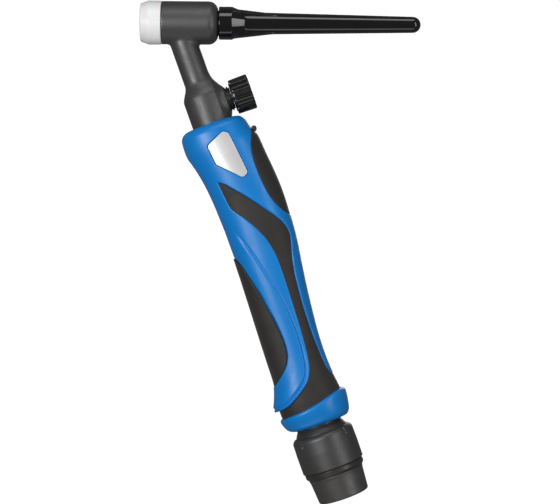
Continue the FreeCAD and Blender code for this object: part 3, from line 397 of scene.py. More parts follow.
def surface_net(field, low, high, step):
    """Vertices and quads of a field's zero surface on a grid."""
    axes = [np.arange(a, b + step, step) for a, b in zip(low, high)]
    grid = np.stack(np.meshgrid(*axes, indexing="ij"), axis=-1)
    value = field(grid)
    inside = value < 0
    cells = tuple(n - 1 for n in value.shape)
    total = np.zeros(cells + (3,))
    count = np.zeros(cells)

    def window(shift):
        return tuple(slice(s, s + n) for s, n in zip(shift, cells))

    for axis in range(3):
        others = [a for a in range(3) if a != axis]
        for u in (0, 1):
            for v in (0, 1):
                shift = [0, 0, 0]
                shift[others[0]], shift[others[1]] = u, v
                far = list(shift)
                far[axis] = 1
                a, b = value[window(shift)], value[window(far)]
                hit = (a < 0) != (b < 0)
                t = np.where(hit, a / np.where(hit, a - b, 1), 0)
                spot = np.zeros(cells + (3,)) + np.array(shift, float)
                spot[..., axis] += t
                total += spot * hit[..., None]
                count += hit
    used = count > 0
    index = -np.ones(cells, int)
    index[used] = np.arange(used.sum())
    base = np.stack(np.nonzero(used), axis=-1)
    points = (base + total[used] / count[used][:, None]) * step + np.array([axis[0] for axis in axes])
    faces = []
    for axis in range(3):
        b, c = (axis + 1) % 3, (axis + 2) % 3
        near = [slice(1, n) for n in cells]
        near[axis] = slice(0, cells[axis])
        far = list(near)
        far[axis] = slice(1, cells[axis] + 1)
        a_in, b_in = inside[tuple(near)], inside[tuple(far)]
        spots = np.stack(np.nonzero(a_in != b_in), axis=-1)
        starts_in = a_in[tuple(spots.T)]
        spots[:, b] += 1
        spots[:, c] += 1
        ring = []
        for db, dc in ((0, 0), (1, 0), (1, 1), (0, 1)):
            cell = spots.copy()
            cell[:, b] -= db
            cell[:, c] -= dc
            ring.append(index[tuple(cell.T)])
        quad = np.stack(ring, axis=-1)
        quad[~starts_in] = quad[~starts_in][:, ::-1]
        faces.append(quad)
    faces = np.concatenate(faces)
    faces = faces[(faces >= 0).all(axis=1)]

    def gradient(p):
        reach = 0.02
        return np.stack([(field(p + offset) - field(p - offset)) / (2 * reach)
                         for offset in np.eye(3) * reach], axis=-1)

    for _ in range(3):
        slope = gradient(points)
        shift = field(points)[:, None] * slope / np.maximum(0.3, (slope ** 2).sum(axis=1, keepdims=True))
        points = points - np.clip(shift, -0.4 * step, 0.4 * step)
    return points, faces.tolist()


def head_jacket():
    step = 0.55
    points, faces = surface_net(jacket_field, (-19.5, -12.6, 38.0), (31.5, 12.6, 131.5), step)
    outward(piece("head_jacket_moulding", points, faces, "root", "head_jacket", sharp=50.0))


# ---------------------------------------------------------------- head, cap and valve

PITCH = 1.0


def thread_cut(height, angle, depth, low, high):
    """How deep a screw thread cuts at each point, fading out at both of its ends."""
    share = smoothstep(height, low, low + PITCH) * (1 - smoothstep(height, high - PITCH, high))
    phase = (height / PITCH - angle / (2 * math.pi)) % 1.0
    return depth * share * np.abs(2 * phase - 1)


def front_gasket():
    high = BARREL_FRONT + 11.2
    line = rounded([(6.55, 7.95, 0), (11.55, 7.95, 0.3), (11.6, high - 4.3, 1.6), (10.0, high, 0.9),
                    (5.6, high, 0.35), (5.6, 11.95, 0), (6.55, 11.95, 0)])
    lathe("front_gasket_turned", line, HEAD_AXIS, "root", "front_gasket")


def head_core():
    front_bore, rear_bore = 4.75, 5.0
    line = rounded([(front_bore, 11.9, 0.3), (6.5, 11.9, 0.2), (6.5, 7.85, 0), (8.45, 7.85, 0),
                    (8.45, BORE_FLOOR, 0.2), (rear_bore, BORE_FLOOR, 0.35), (rear_bore, -13.2, 0),
                    (4.0, -13.0, 0), (4.0, 1.9, 0), (front_bore, 1.9, 0)])
    line = dense(line, 0.16)
    depth = 0.35

    def shape(radius, height, angle):
        for bore, low, high in ((front_bore, 2.6, 11.7), (rear_bore, -20.0, -13.6)):
            cut = thread_cut(height, angle, depth, low, high)
            on_bore = (np.abs(radius - bore) < 0.05) & (height > low) & (height < high)
            radius = np.where(on_bore, radius + cut - depth * 0.4, radius)
        return radius, height
    lathe("head_core_threaded", line, HEAD_AXIS, "root", "head_core", count=96, shape=shape, sharp=50)


RIB_TURNS = (48, 168, 288)


def back_cap():
    ramp, tube, tip = CAP_FACE - 6.9, CAP_FACE - 13.8, CAP_FACE - 102.6
    tube_radius, tip_radius = 5.98, 4.3
    corners = [(5.0, CAP_FACE, 0.25), (8.75, CAP_FACE, 0.45), (8.75, ramp, 0.5), (6.05, tube, 1.2)]
    outside = rounded(corners, closed=False, steps=6)
    side = [(tube_radius - (tube_radius - tip_radius) * share ** 1.02, tube + (tip - tube) * share)
            for share in np.linspace(0.01, 1, 70)]
    dome = [(tip_radius * math.cos(a), tip - tip_radius * math.sin(a))
            for a in np.linspace(0.09, math.pi / 2 - 0.04, 14)]
    inside = [(0.0, tip - tip_radius), (0.0, tip + 2.6), (2.6, tip + 2.8), (2.6, CAP_FACE - 10.0),
              (5.0, CAP_FACE - 10.0), (5.0, CAP_FACE - 0.3)]
    profile = np.vstack([dense(outside, 0.35, closed=False), side, dome, inside])
    rib_end = tube - 21.0
    crest_start, crest_end = 8.7, 5.2

    def shape(radius, height, angle):
        share = np.clip((ramp - height) / (ramp - rib_end), 0, 1)
        crest = crest_start + (crest_end - crest_start) * share ** 0.92
        on_rib = (height < ramp + 0.2) & (height > rib_end) & (radius > 5.0)
        for turn in RIB_TURNS:
            across = np.abs(angle_from(angle, turn)) * np.maximum(radius, 6.0)
            flank = 1 - smoothstep(across, 0.7 + 0.3 * (1 - share), 1.2 + 0.6 * (1 - share))
            raised = radius + np.maximum(crest - radius, 0) * flank
            radius = np.where(on_rib, raised, radius)
        return radius, height
    lathe("back_cap_moulding", profile, HEAD_AXIS, "cap", "back_cap", count=300, shape=shape, sharp=42)


def back_cap_stud():
    start, nose = CAP_FACE - 9.9, -13.5
    line = rounded([(2.0, start, 0), (4.95, start, 0), (4.95, nose, 0.35), (3.6, nose, 0.1),
                    (3.6, nose + 4, 0.3), (2.0, nose + 4, 0.2)])
    line = dense(line, 0.16)

    def shape(radius, height, angle):
        cut = thread_cut(height, angle, 0.32, CAP_FACE + 1.6, nose)
        return np.where(radius > 4.4, radius - cut, radius), height
    lathe("back_cap_stud_threaded", line, HEAD_AXIS, "cap", "back_cap_stud", count=96, shape=shape, sharp=50)


def bonnet():
    line = rounded([(1.95, 5.4, 0), (5.15, 5.4, 0), (5.15, BOSS_FACE, 0), (6.7, 11.8, 0.25),
                    (6.7, 12.35, 0.12), (6.0, 12.45, 0.1), (6.0, 13.0, 0.1), (6.7, 13.1, 0.3),
                    (6.7, 13.7, 0.25), (5.8, 13.85, 0.1), (5.8, 14.6, 0.2), (1.95, 14.6, 0.2)])
    lathe("valve_bonnet_turned", line, VALVE_AXIS, "root", "valve_bonnet", count=120)


def valve_knob():
    start, end = 15.1, 25.5
    flutes, flute_half, flute_depth = 12, 1.25, 0.8
    line = rounded([(1.9, 14.7, 0), (7.6, 14.7, 0.3), (7.7, start, 0.1), (9.1, start, 0.5),
                    (9.3, start + 1.0, 0.6), (9.5, end, 0.85), (7.6, end, 0.4), (7.3, end - 0.35, 0.3),
                    (0.0, end - 0.35, 0), (0.0, 23.3, 0), (1.9, 23.3, 0)])
    line = dense(line, 0.5)

    def shape(radius, height, angle):
        turn = (angle * flutes / (2 * math.pi)) % 1.0
        off = np.abs(turn - 0.5) * 2 * math.pi * 9.4 / flutes
        flute = flute_depth * np.sqrt(np.clip(1 - (off / flute_half) ** 2, 0, 1)) ** 1.3
        weight = smoothstep(radius, 8.0, 8.9)
        return radius - flute * weight, height
    lathe("valve_knob_fluted", line, VALVE_AXIS, "knob", "valve_knob", count=384, shape=shape, sharp=38)


def tail_stud():
    line = rounded([(2.5, 0.0, 0.2), (5.95, 0.0, 0.6), (5.95, 33.9, 0.1), (5.0, 34.0, 0), (5.0, 41.9, 0),
                    (2.5, 41.9, 0)])
    line = dense(line, 0.2)
    nut_low, nut_high, nut_flat, nut_corner = 12.0, 18.0, 8.5, 9.55

    def shape(radius, height, angle):
        cut = thread_cut(height, angle, 0.45, -0.4, 11.6)
        sixth = (angle % (math.pi / 3)) - math.pi / 6
        on_nut = (height > nut_low) & (height < nut_high)
        flats = np.minimum(nut_flat / np.cos(sixth), nut_corner)
        radius = np.where((radius > 5) & (height < nut_low), radius - cut, radius)
        return np.where((radius > 5) & on_nut, flats, radius), height
    lathe("tail_stud_threaded", line, STEM_AXIS, "root", "tail_stud", count=144, shape=shape, sharp=40)


# ---------------------------------------------------------------- cable swivel

BALL_RADIUS = 15.0
CUP_RADIUS = 15.3
SOCKET_RIM = BALL + 5.6
RING_BORE = 13.95


def ball_arc(radius, start, end, count):
    """Points of an arc about the ball's centre, between two angles in degrees."""
    angles = np.radians(np.linspace(start, end, count))
    return [(radius * math.cos(a), BALL + radius * math.sin(a)) for a in angles]


def swivel_ball():
    neck_top = SOLE + 4.6
    neck = rounded([(9.0, neck_top + 3.4, 0.2), (13.7, neck_top + 3.4, 0.3), (13.7, neck_top, 0.3),
                    (12.2, neck_top, 0.2), (12.2, SOLE - 0.9, 0.15), (11.9, SOLE - 1.1, 0.15),
                    (11.9, SOLE - 1.5, 0.1), (12.3, SOLE - 1.7, 0.2), (12.3, SOLE - 3.2, 0.3),
                    (9.6, SOLE - 3.6, 0)], closed=False)
    foot = [(13.0, BALL - 7.5), (9.0, BALL - 7.5)]
    line = np.vstack([neck[:-1], ball_arc(BALL_RADIUS, 53.0, -29.5, 34), foot])
    lathe("swivel_ball_turned", line, STEM_AXIS, "ball", "swivel_ball", count=150)


def swivel_socket():
    lip_centre, lip_round = 13.55, 3.0
    lip = [(lip_centre + lip_round * math.cos(a), SOCKET_RIM - lip_round + lip_round * math.sin(a))
           for a in np.radians(np.linspace(74, 4, 10))]
    wall = rounded([(16.55, SOCKET_RIM - 3.6, 0), (16.7, BALL - 4.0, 8.0), (16.6, SOCKET_END + 0.25, 0.35),
                    (16.0, SOCKET_END, 0.1), (RING_BORE, SOCKET_END, 0)], closed=False, steps=9)
    line = np.vstack([ball_arc(CUP_RADIUS, -22.0, 20.6, 24), lip, wall, [(RING_BORE, BALL - 6.0)]])
    line = dense(line, 0.4)

    def dimples(radius, height, angle):
        for turn in (45, 135, 225, 315):
            down = SOCKET_RIM - 0.9 - height
            width = 0.35 + 0.85 * np.clip(down / 3.6, 0, 1)
            across = angle_from(angle, turn) * radius / width
            depth = 1.15 * np.clip(1 - across ** 2, 0, 1) * smoothstep(down, -0.3, 0.6)
            depth = depth * (1 - smoothstep(down, 3.1, 4.0)) * (radius > 14.6) * (height > BALL - 2)
            radius = radius - depth
        return radius, height
    lathe("swivel_socket_moulding", line, STEM_AXIS, "socket", "swivel_socket", count=320, shape=dimples)


def lock_ring():
    line = rounded([(RING_BORE, SOCKET_END - 0.05, 0), (15.55, SOCKET_END - 0.05, 0.1),
                    (16.0, SOCKET_END - 0.5, 0.3), (16.0, RING_END + 1.2, 0.5), (15.2, RING_END + 0.1, 0.3),
                    (RING_BORE, RING_END + 0.1, 0)])
    lathe("lock_ring_turned", line, STEM_AXIS, "socket", "lock_ring", count=150)


def cable_sleeve():
    line = rounded([(11.3, CABLE_END + 0.2, 0.5), (13.55, CABLE_END, 1.0), (14.5, RING_END - 2.0, 4.0),
                    (14.95, RING_END - 0.05, 0.35), (13.9, RING_END, 0), (13.9, SOCKET_END + 3.3, 0.3),
                    (11.3, SOCKET_END + 3.3, 0.5)])
    line = dense(line, 1.0)
    lathe("cable_sleeve_moulding", line, STEM_AXIS, "socket", "cable_sleeve", count=150)


# ---------------------------------------------------------------- grip surface

# (height, place) of the side view's palm and front edges, and (height, half width), from the mouth down
PALM = [(59, -18.4), (54, -18.7), (50, -18.9), (46, -18.7), (42, -17.6), (38, -16.6), (34, -15.8),
        (30, -15.15), (26, -14.7), (18, -14.1), (10, -13.85), (2, -13.65), (-6, -13.65), (-22, -13.9),
        (-34, -14.25), (-46, -14.65), (-58, -15.05), (-70, -15.4), (-82, -15.8), (-90, -16.9), (-96, -17.6),
        (-104, -17.2)]
FRONT = [(59, 17.3), (54, 17.8), (50, 18.9), (46, 20.9), (42, 21.45), (38, 21.75), (34, 22.1), (30, 22.5),
         (26, 22.9), (18, 23.45), (10, 23.55), (2, 23.2), (-6, 22.75), (-14, 22.0), (-22, 20.8), (-30, 19.65),
         (-38, 18.6), (-46, 17.65), (-54, 16.85), (-62, 16.15), (-70, 15.8), (-78, 15.8), (-86, 16.3),
         (-94, 17.3), (-104, 17.6)]
HALF = [(59, 15.5), (50, 16.2), (36, 16.0), (14, 15.4), (-8, 14.9), (-32, 14.5), (-56, 14.5), (-78, 15.0),
        (-96, 16.3), (-104, 16.4)]
# how much further the blue shells reach at the palm's lower end
TAIL_FLARE = [(59, 0.0), (-80, 0.0), (-86, 0.35), (-90, 1.0), (-92, 1.6), (-94, 2.3), (-96, 2.6), (-104, 2.6)]
SECTION_POWER = 2.25
REACH = 2 / SECTION_POWER
MOUTH_ROUND = 4.7
MOUTH_HOLE = 10.85
# rise is the height up to the corner, then counts on round the mouth's rounding and in to its hole
CORNER = MOUTH - MOUTH_ROUND
ROUND_LENGTH = MOUTH_ROUND * math.pi / 2
HOLE_RUN = 3.0
GRIP_LOW = -103.5

SIDE_INLAY_PALM_EDGE = [
    (-7.8, 28.2), (-7.45, 25), (-6.95, 20), (-6.4, 15.4), (-5.9, 13.2), (-4.6, 10.9), (-1.2, 6.2),
    (1.5, 2.1), (3.7, -2), (5.6, -6), (6.9, -10), (7.8, -14), (8.4, -18), (8.65, -24), (8.6, -34),
    (8.3, -46), (7.9, -58), (7.1, -70), (6.0, -77.5), (4.4, -82), (1.7, -86), (-3.4, -90),
    (-6.7, -92.1), (-9.9, -93.8), (-13.5, -95.1), (-21, -96.6)]
SIDE_INLAY_FRONT_EDGE = [
    (-7.8, 28.2), (-4.6, 26), (-1.1, 22), (2.6, 18), (5.9, 14), (9.0, 10), (12.0, 6), (15.1, 2),
    (17.7, -2), (19.1, -6), (19.4, -10), (18.5, -14), (17.2, -18.5), (16.1, -23), (14.8, -30),
    (14.0, -38), (13.4, -46), (13.1, -54), (13.05, -62), (13.3, -70), (13.8, -78), (14.6, -83),
    (16.4, -86.4), (22, -89.5)]
PALM_INLAY_EDGE = [
    (-18, -8.5), (-13.7, -12), (-12.3, -14.5), (-10.9, -18), (-9.8, -22), (-8.7, -26), (-7.6, -30),
    (-6.6, -34), (-5.3, -42), (-3.9, -50), (-3.1, -57), (-2.85, -62), (-3.05, -66), (-3.9, -70),
    (-6.1, -74), (-9.7, -77.8), (-14.6, -82), (-18.5, -85)]
BLANK_EDGE = [
    (21.5, 52.0), (18.9, 50.4), (17.9, 46.5), (16.0, 42), (15.0, 38), (14.45, 34), (14.3, 30),
    (14.4, 26), (14.7, 22), (15.1, 18), (15.7, 14), (16.8, 10), (18.6, 6), (21.3, 2), (25.5, -2)]
LABEL = [(4.0, 52.6), (6.6, 50.8), (9.3, 27.9), (6.0, 26.2), (-5.2, 37.3), (-6.3, 47.9)]
CREASE = [
    (-9.6, 6.0), (-7.3, -2), (-3.6, -13), (1.0, -29), (4.3, -45), (5.3, -58), (5.1, -68), (4.2, -76),
    (2.2, -82), (-2.0, -87), (-8.2, -91.2), (-17.5, -94.6)]
FAR = 60.0


def closed_beyond(curve, side):
    """A curve closed far outside the silhouette on one side."""
    line = smooth_curve(curve)
    return np.vstack([line, [(side * FAR, line[-1][1]), (side * FAR, line[0][1])]])


def side_inlay_outline():
    """The soft side inlay: its two edges, closed far below the grip."""
    palm = smooth_curve(SIDE_INLAY_PALM_EDGE)
    front = smooth_curve(SIDE_INLAY_FRONT_EDGE)
    low = [(-FAR, palm[-1][1]), (-FAR, -FAR * 3), (FAR, -FAR * 3), (FAR, front[-1][1])]
    return np.vstack([palm, low, front[::-1][:-1]])


# closed (x, height) outlines in the side view, which say what piece a point belongs to
OUTLINES = {
    "side": side_inlay_outline(),
    "palm": closed_beyond(PALM_INLAY_EDGE, -1),
    "blank": closed_beyond(BLANK_EDGE, 1),
    "label": rounded([(x, z, 1.9) for x, z in LABEL], steps=7),
}
CREASE_LINE = smooth_curve(CREASE, 2.0)
SCREWS = [(10.9, 21.6), (-11.6, -87.0)]
SCREW_HOLE = 3.1
CHUNK = 20000


def signed_distance(points, outline, closed=True):
    """Distance to a closed outline, negative inside it.

    An open line gives the distance, negative on its left, and the share of the line at the nearest point.
    """
    ends = np.roll(outline, -1, axis=0) if closed else outline[1:]
    starts = outline if closed else outline[:-1]
    result = np.empty(len(points))
    share = np.empty(len(points))
    for low in range(0, len(points), CHUNK):
        part = slice(low, low + CHUNK)
        p = points[part, None, :]
        run = ends - starts
        t = np.clip(((p - starts) * run).sum(-1) / np.maximum(1e-9, (run ** 2).sum(-1)), 0, 1)
        off = p - (starts + run * t[..., None])
        away = np.sqrt((off ** 2).sum(-1))
        best = away.argmin(axis=1)
        rows = np.arange(len(best))
        least = away[rows, best]
        if closed:
            crossing = (starts[:, 1] > p[..., 1]) != (ends[:, 1] > p[..., 1])
            rise = np.where(np.abs(run[:, 1]) < 1e-9, 1e-9, run[:, 1])
            meets = starts[:, 0] + (p[..., 1] - starts[:, 1]) / rise * run[:, 0]
            inside = ((crossing & (p[..., 0] < meets)).sum(axis=1) % 2) == 1
            result[part] = np.where(inside, -least, least)
        else:
            side = run[best, 0] * off[rows, best, 1] - run[best, 1] * off[rows, best, 0]
            result[part] = np.where(side > 0, -least, least)
            share[part] = (best + t[rows, best]) / len(starts)
    return result if closed else (result, share)


def at_height(table, height):
    """A smooth table lookup by height."""
    spots = np.array(table[::-1], float)
    x, y = spots[:, 0], spots[:, 1]
    slope = np.gradient(y, x)
    k = np.clip(np.searchsorted(x, height) - 1, 0, len(x) - 2)
    span = x[k + 1] - x[k]
    t = np.clip((height - x[k]) / span, 0, 1)
    return ((2 * t ** 3 - 3 * t ** 2 + 1) * y[k] + (t ** 3 - 2 * t ** 2 + t) * span * slope[k]
            + (3 * t ** 2 - 2 * t ** 3) * y[k + 1] + (t ** 3 - t ** 2) * span * slope[k + 1])


def grip_base(turn, rise, flare=0.0):
    """The plain grip surface, by turn about the stem's axis and rise up the side."""
    arc = np.clip((rise - CORNER) / ROUND_LENGTH, 0, 1) * math.pi / 2
    inward = np.clip(rise - CORNER - ROUND_LENGTH, 0, HOLE_RUN) / HOLE_RUN
    height = np.minimum(rise, CORNER) + MOUTH_ROUND * np.sin(arc)
    pull = MOUTH_ROUND * (1 - np.cos(arc))
    level = np.minimum(rise, MOUTH)
    palm, front, half = (at_height(table, level) for table in (PALM, FRONT, HALF))
    palm = palm - flare * at_height(TAIL_FLARE, level)
    c, s = np.cos(turn), np.sin(turn)
    x = (palm + front) / 2 + ((front - palm) / 2 - pull) * np.sign(c) * np.abs(c) ** REACH
    y = (half - pull) * np.sign(s) * np.abs(s) ** REACH
    distance = np.maximum(1e-6, np.hypot(x, y))
    hole_x, hole_y = x / distance * MOUTH_HOLE, y / distance * MOUTH_HOLE
    x = x + (hole_x - x) * inward
    y = y + (hole_y - y) * inward
    height = height - 0.25 * inward
    return np.stack([x, y, height], axis=-1)


def surface_normal(surface, turn, rise, turn_step=0.004, rise_step=0.032):
    """Outward normals of a surface of turn and rise, from small steps to either side."""
    across = surface(turn + turn_step, rise) - surface(turn - turn_step, rise)
    up = surface(turn, rise + rise_step) - surface(turn, rise - rise_step)
    return unit(np.cross(across, up))


# an outline's slopes are worked out only this near to it
NEAR = 4
SLOPE_STEP = 0.05
NO_HOLE = 9.0
# points this near to a level are taken to lie on it
SNAP = 0.03


def fields(turn, rise):
    """At points of the grip: y, and the distances to the outlines, the crease and the screw holes."""
    spot = grip_base(turn, rise)
    normal = surface_normal(grip_base, turn, rise)
    flat = spot[:, [0, 2]]
    made = {"y": spot[:, 1]}
    for name, outline in OUTLINES.items():
        value = signed_distance(flat, outline)
        near = np.abs(value) < NEAR
        slope = np.zeros((len(value), 2))
        if near.any():
            for axis, step in enumerate(np.eye(2) * SLOPE_STEP):
                slope[near, axis] = (signed_distance(flat[near] + step, outline) - value[near]) / SLOPE_STEP
        # a distance in the side view is longer on the surface where the surface turns away
        tilt = normal[:, 0] * slope[:, 0] + normal[:, 2] * slope[:, 1]
        made[name] = value / np.sqrt(np.clip(1 - tilt ** 2, 0.12, 1))
    made["crease"], made["crease_share"] = signed_distance(flat, CREASE_LINE, closed=False)
    holes = [np.hypot(flat[:, 0] - x, flat[:, 1] - z) - SCREW_HOLE for x, z in SCREWS]
    made["screw"] = np.where(spot[:, 1] > 0, np.minimum(*holes), NO_HOLE)
    return made


def split(state, name, level):
    """Cut the triangles along one level of a field."""
    value = state["fields"][name] - level
    value[np.abs(value) < SNAP] = 0.0
    state["fields"][name] = value + level
    sign = np.sign(value)
    corners = sign[state["faces"]]
    mixed = (corners.min(axis=1) < 0) & (corners.max(axis=1) > 0)
    kept = state["faces"][~mixed]
    cut = {}
    fresh_turn, fresh_rise, made = [], [], []
    first = len(value)

    def crossing(a, b):
        """The new point where the level crosses an edge."""
        key = (min(a, b), max(a, b))
        if key not in cut:
            a, b = key
            share = value[a] / (value[a] - value[b])
            turn_a, turn_b = state["turn"][a], state["turn"][b]
            if turn_b - turn_a > math.pi:
                turn_b -= 2 * math.pi
            elif turn_a - turn_b > math.pi:
                turn_a -= 2 * math.pi
            cut[key] = first + len(fresh_turn)
            fresh_turn.append(turn_a + (turn_b - turn_a) * share)
            fresh_rise.append(state["rise"][a] + (state["rise"][b] - state["rise"][a]) * share)
        return cut[key]

    for face in state["faces"][mixed]:
        signs = [sign[v] for v in face]
        if 0 in signs:
            k = signs.index(0)
            a, b, c = face[k], face[(k + 1) % 3], face[(k + 2) % 3]
            m = crossing(b, c)
            made += [(a, b, m), (a, m, c)]
            continue
        lone = next(k for k in range(3) if signs[k] != signs[(k + 1) % 3] and signs[k] != signs[(k + 2) % 3])
        a, b, c = face[lone], face[(lone + 1) % 3], face[(lone + 2) % 3]
        m, n = crossing(a, b), crossing(a, c)
        made += [(a, m, n), (m, b, c), (m, c, n)]
    if not made:
        return
    turn, rise = np.array(fresh_turn), np.array(fresh_rise)
    extra = fields(turn, rise)
    extra[name] = np.full(len(turn), float(level))
    for key in state["fields"]:
        state["fields"][key] = np.concatenate([state["fields"][key], extra[key]])
    state["turn"] = np.concatenate([state["turn"], turn])
    state["rise"] = np.concatenate([state["rise"], rise])
    state["faces"] = np.vstack([kept, np.array(made, int)])


def rounding(distance, radius, depth):
    """How far a rounded edge has dropped at a distance from the edge."""
    t = np.clip(1 - distance / radius, 0, 1)
    return depth * (1 - np.sqrt(1 - t ** 2))


def blue_offset(f):
    """Rounded edges, the label's surround, the seam and the crease of the blue shells."""
    edge = np.minimum.reduce([f["side"], f["palm"], f["blank"]])
    down = rounding(edge, 0.75, 0.6)
    ledge, ledge_drop = 0.42, 0.75
    down = down + ledge_drop * (1 - smoothstep(f["label"], 0.3, ledge))
    down = down + rounding(f["label"] - ledge, 0.33, 0.15)
    down = down + rounding(np.abs(f["y"]), 0.22, 0.14)
    down = down + rounding(f["screw"], 0.4, 0.25)
    fade = smoothstep(f["crease_share"], 0.0, 0.16)
    late = smoothstep(f["crease_share"], 0.6, 0.8)
    groove_width, step_height = 0.6, 0.38
    groove = np.exp(-(f["crease"] / groove_width) ** 2) * (0.32 + 0.3 * late)
    # the surface beyond the crease, towards the inlay, stands a little proud
    step = smoothstep(f["crease"], -0.3, 1.5) * (1 - smoothstep(f["crease"], 4.0, 11.0)) * step_height
    return step * fade - groove * fade - down


def inlay_offset(name):
    """The offset of a soft pad: a little sunk, with rounded edges. The side inlays also part at the seam."""
    def offset(f):
        edge = -f[name]
        if name == "side":
            from_seam = np.abs(f["y"])
            edge = np.minimum(edge, np.where(from_seam < 0.5, from_seam + 0.12, 9))
        return -0.22 - rounding(edge, 0.6, 0.5)
    return offset


def label_offset(f):
    """The offset of the label plate, which lies just below the shell's surface."""
    return -0.12 - rounding(-f["label"], 0.3, 0.15)


def shell_piece(state, chosen, name, node, offset, flare=0.0, thickness=1.3):
    """A closed piece: the chosen triangles pushed by an offset, an inner skin and the walls between."""
    faces = state["faces"][chosen]
    used = np.unique(faces)
    renumber = -np.ones(len(state["turn"]), int)
    renumber[used] = np.arange(len(used))
    faces = renumber[faces]
    turn, rise = state["turn"][used], state["rise"][used]
    part = {key: value[used] for key, value in state["fields"].items()}

    def base(t, r):
        return grip_base(t, r, flare)

    def pushed(t, r):
        return base(t, r) + surface_normal(base, t, r) * offset(fields(t, r))[:, None]

    outer = base(turn, rise) + surface_normal(base, turn, rise) * offset(part)[:, None]
    inner = grip_base(turn, rise) - surface_normal(grip_base, turn, rise) * thickness
    edges = np.vstack([faces[:, [0, 1]], faces[:, [1, 2]], faces[:, [2, 0]]])
    known = {(a, b) for a, b in edges.tolist()}
    rim = [(a, b) for a, b in known if (b, a) not in known]
    count = len(used)
    outside = [tuple(face) for face in faces.tolist()]
    inside = [(c + count, b + count, a + count) for a, b, c in outside]
    walls = [(b, a, a + count, b + count) for a, b in rim]
    made = piece(name, np.vstack([outer, inner]), outside + inside + walls, "root", node, sharp=38)
    outward(made)
    smooth_outside(made, len(faces), surface_normal(pushed, turn, rise, 0.003, 0.06))


def smooth_outside(item, faces, wanted):
    """Shade the outer skin with the surface's own normals, so that the cut lines leave no facets."""
    mesh = item.data
    corner = np.empty(len(mesh.loops), int)
    mesh.loops.foreach_get("vertex_index", corner)
    normals = np.empty(len(mesh.loops) * 3)
    mesh.corner_normals.foreach_get("vector", normals)
    normals = normals.reshape(-1, 3)
    outside = np.arange(len(mesh.loops)) < faces * 3
    picked = wanted[corner[outside]]
    agree = np.einsum("ij,ij->i", picked, normals[outside]) > 0.6
    chosen = normals[outside]
    chosen[agree] = picked[agree]
    normals[outside] = chosen
    mesh.normals_split_custom_set(normals.tolist())


def grip_grid():
    """Triangles over the whole grip surface, as turns and rises, before any outline is cut."""
    columns, step = ((232, 0.62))
    rises = np.concatenate([np.arange(GRIP_LOW, CORNER, step),
                            np.linspace(CORNER, CORNER + ROUND_LENGTH, 14),
                            CORNER + ROUND_LENGTH + np.array([0.5, 1.5, HOLE_RUN])])
    # turned a little, so that no column lies on the seam
    turns = (np.arange(columns) + 0.37) * 2 * math.pi / columns
    turn, rise = (grid.ravel() for grid in np.meshgrid(turns, rises))
    j = np.arange(columns)
    k = (j + 1) % columns
    faces = []
    for i in range(len(rises) - 1):
        low, high = i * columns, (i + 1) * columns
        a, b, c, d = low + j, low + k, high + k, high + j
        faces += [np.stack([a, b, c], -1), np.stack([a, c, d], -1)]
    return {"turn": turn, "rise": rise, "faces": np.vstack(faces), "fields": fields(turn, rise)}


# the grid is cut along these levels of each field, so that edges and their roundings are crisp
PAD_LEVELS = (0.0, 0.12, 0.35, 0.75, -0.1, -0.3, -0.6)
LEVELS = {
    "side": PAD_LEVELS,
    "palm": PAD_LEVELS,
    "blank": PAD_LEVELS,
    "label": (0.0, 0.2, 0.42, 0.6, 0.75, -0.12, -0.3),
    "y": (0.0, 0.1, 0.22, -0.1, -0.22),
    "screw": (0.0, 0.15, 0.4),
    "crease": (-1.0, -0.5, -0.2, 0.2, 0.5, 1.0),
}


def grip():
    state = grip_grid()
    for name, levels in LEVELS.items():
        for level in levels:
            split(state, name, level)
    middle = {key: value[state["faces"]].mean(axis=1) for key, value in state["fields"].items()}
    blank = middle["blank"] < 0
    palm = (middle["palm"] < 0) & ~blank
    side = (middle["side"] < 0) & ~blank & ~palm
    label = middle["label"] < 0
    blue = ~(blank | palm | side | label | (middle["screw"] < 0))
    left = middle["y"] < 0
    shell_piece(state, blank, "switch_blank_pad", "switch_blank", inlay_offset("blank"))
    shell_piece(state, palm, "palm_inlay_pad", "palm_inlay", inlay_offset("palm"))
    for half, word in ((left, "left"), (~left, "right")):
        shell, inlay, plate = f"grip_shell_{word}", f"side_inlay_{word}", f"label_plate_{word}"
        shell_piece(state, blue & half, f"{shell}_moulding", shell, blue_offset, flare=1.0)
        shell_piece(state, side & half, f"{inlay}_pad", inlay, inlay_offset("side"))
        shell_piece(state, label & half, f"{plate}_plate", plate, label_offset, thickness=0.9)
    bead = rounded([(0, -4.0, 0), (1.45, -4.0, 0.6), (1.45, 4.0, 0.6), (0, 4.0, 0)], closed=False)
    lathe("switch_blank_tab", bead, ((19.95, 0, 49.5), (0, 1, 0)), "root", "switch_blank", count=40,
          closed=False, replaces=False)


COLLAR_TOP = [(-19, -101.4), (-15, -100.2), (-6, -99.15), (1.2, -98.05), (5.7, -97.1), (10.1, -96.1),
              (14.7, -95.2), (20, -94.9)]
# (share of the height, how far the side lies inside the widest outline)
COLLAR_SIDE = [(0.0, 5.2), (0.03, 4.3), (0.07, 3.5), (0.13, 2.7), (0.2, 2.1), (0.3, 1.55), (0.42, 1.05),
               (0.55, 0.6), (0.68, 0.25), (0.8, 0.03), (0.87, 0.02), (0.92, 0.15), (0.955, 0.45), (0.98, 0.9),
               (0.995, 1.4), (1.0, 1.9)]
COLLAR_PALM, COLLAR_FRONT, COLLAR_HALF = -18.7, 19.6, 17.9


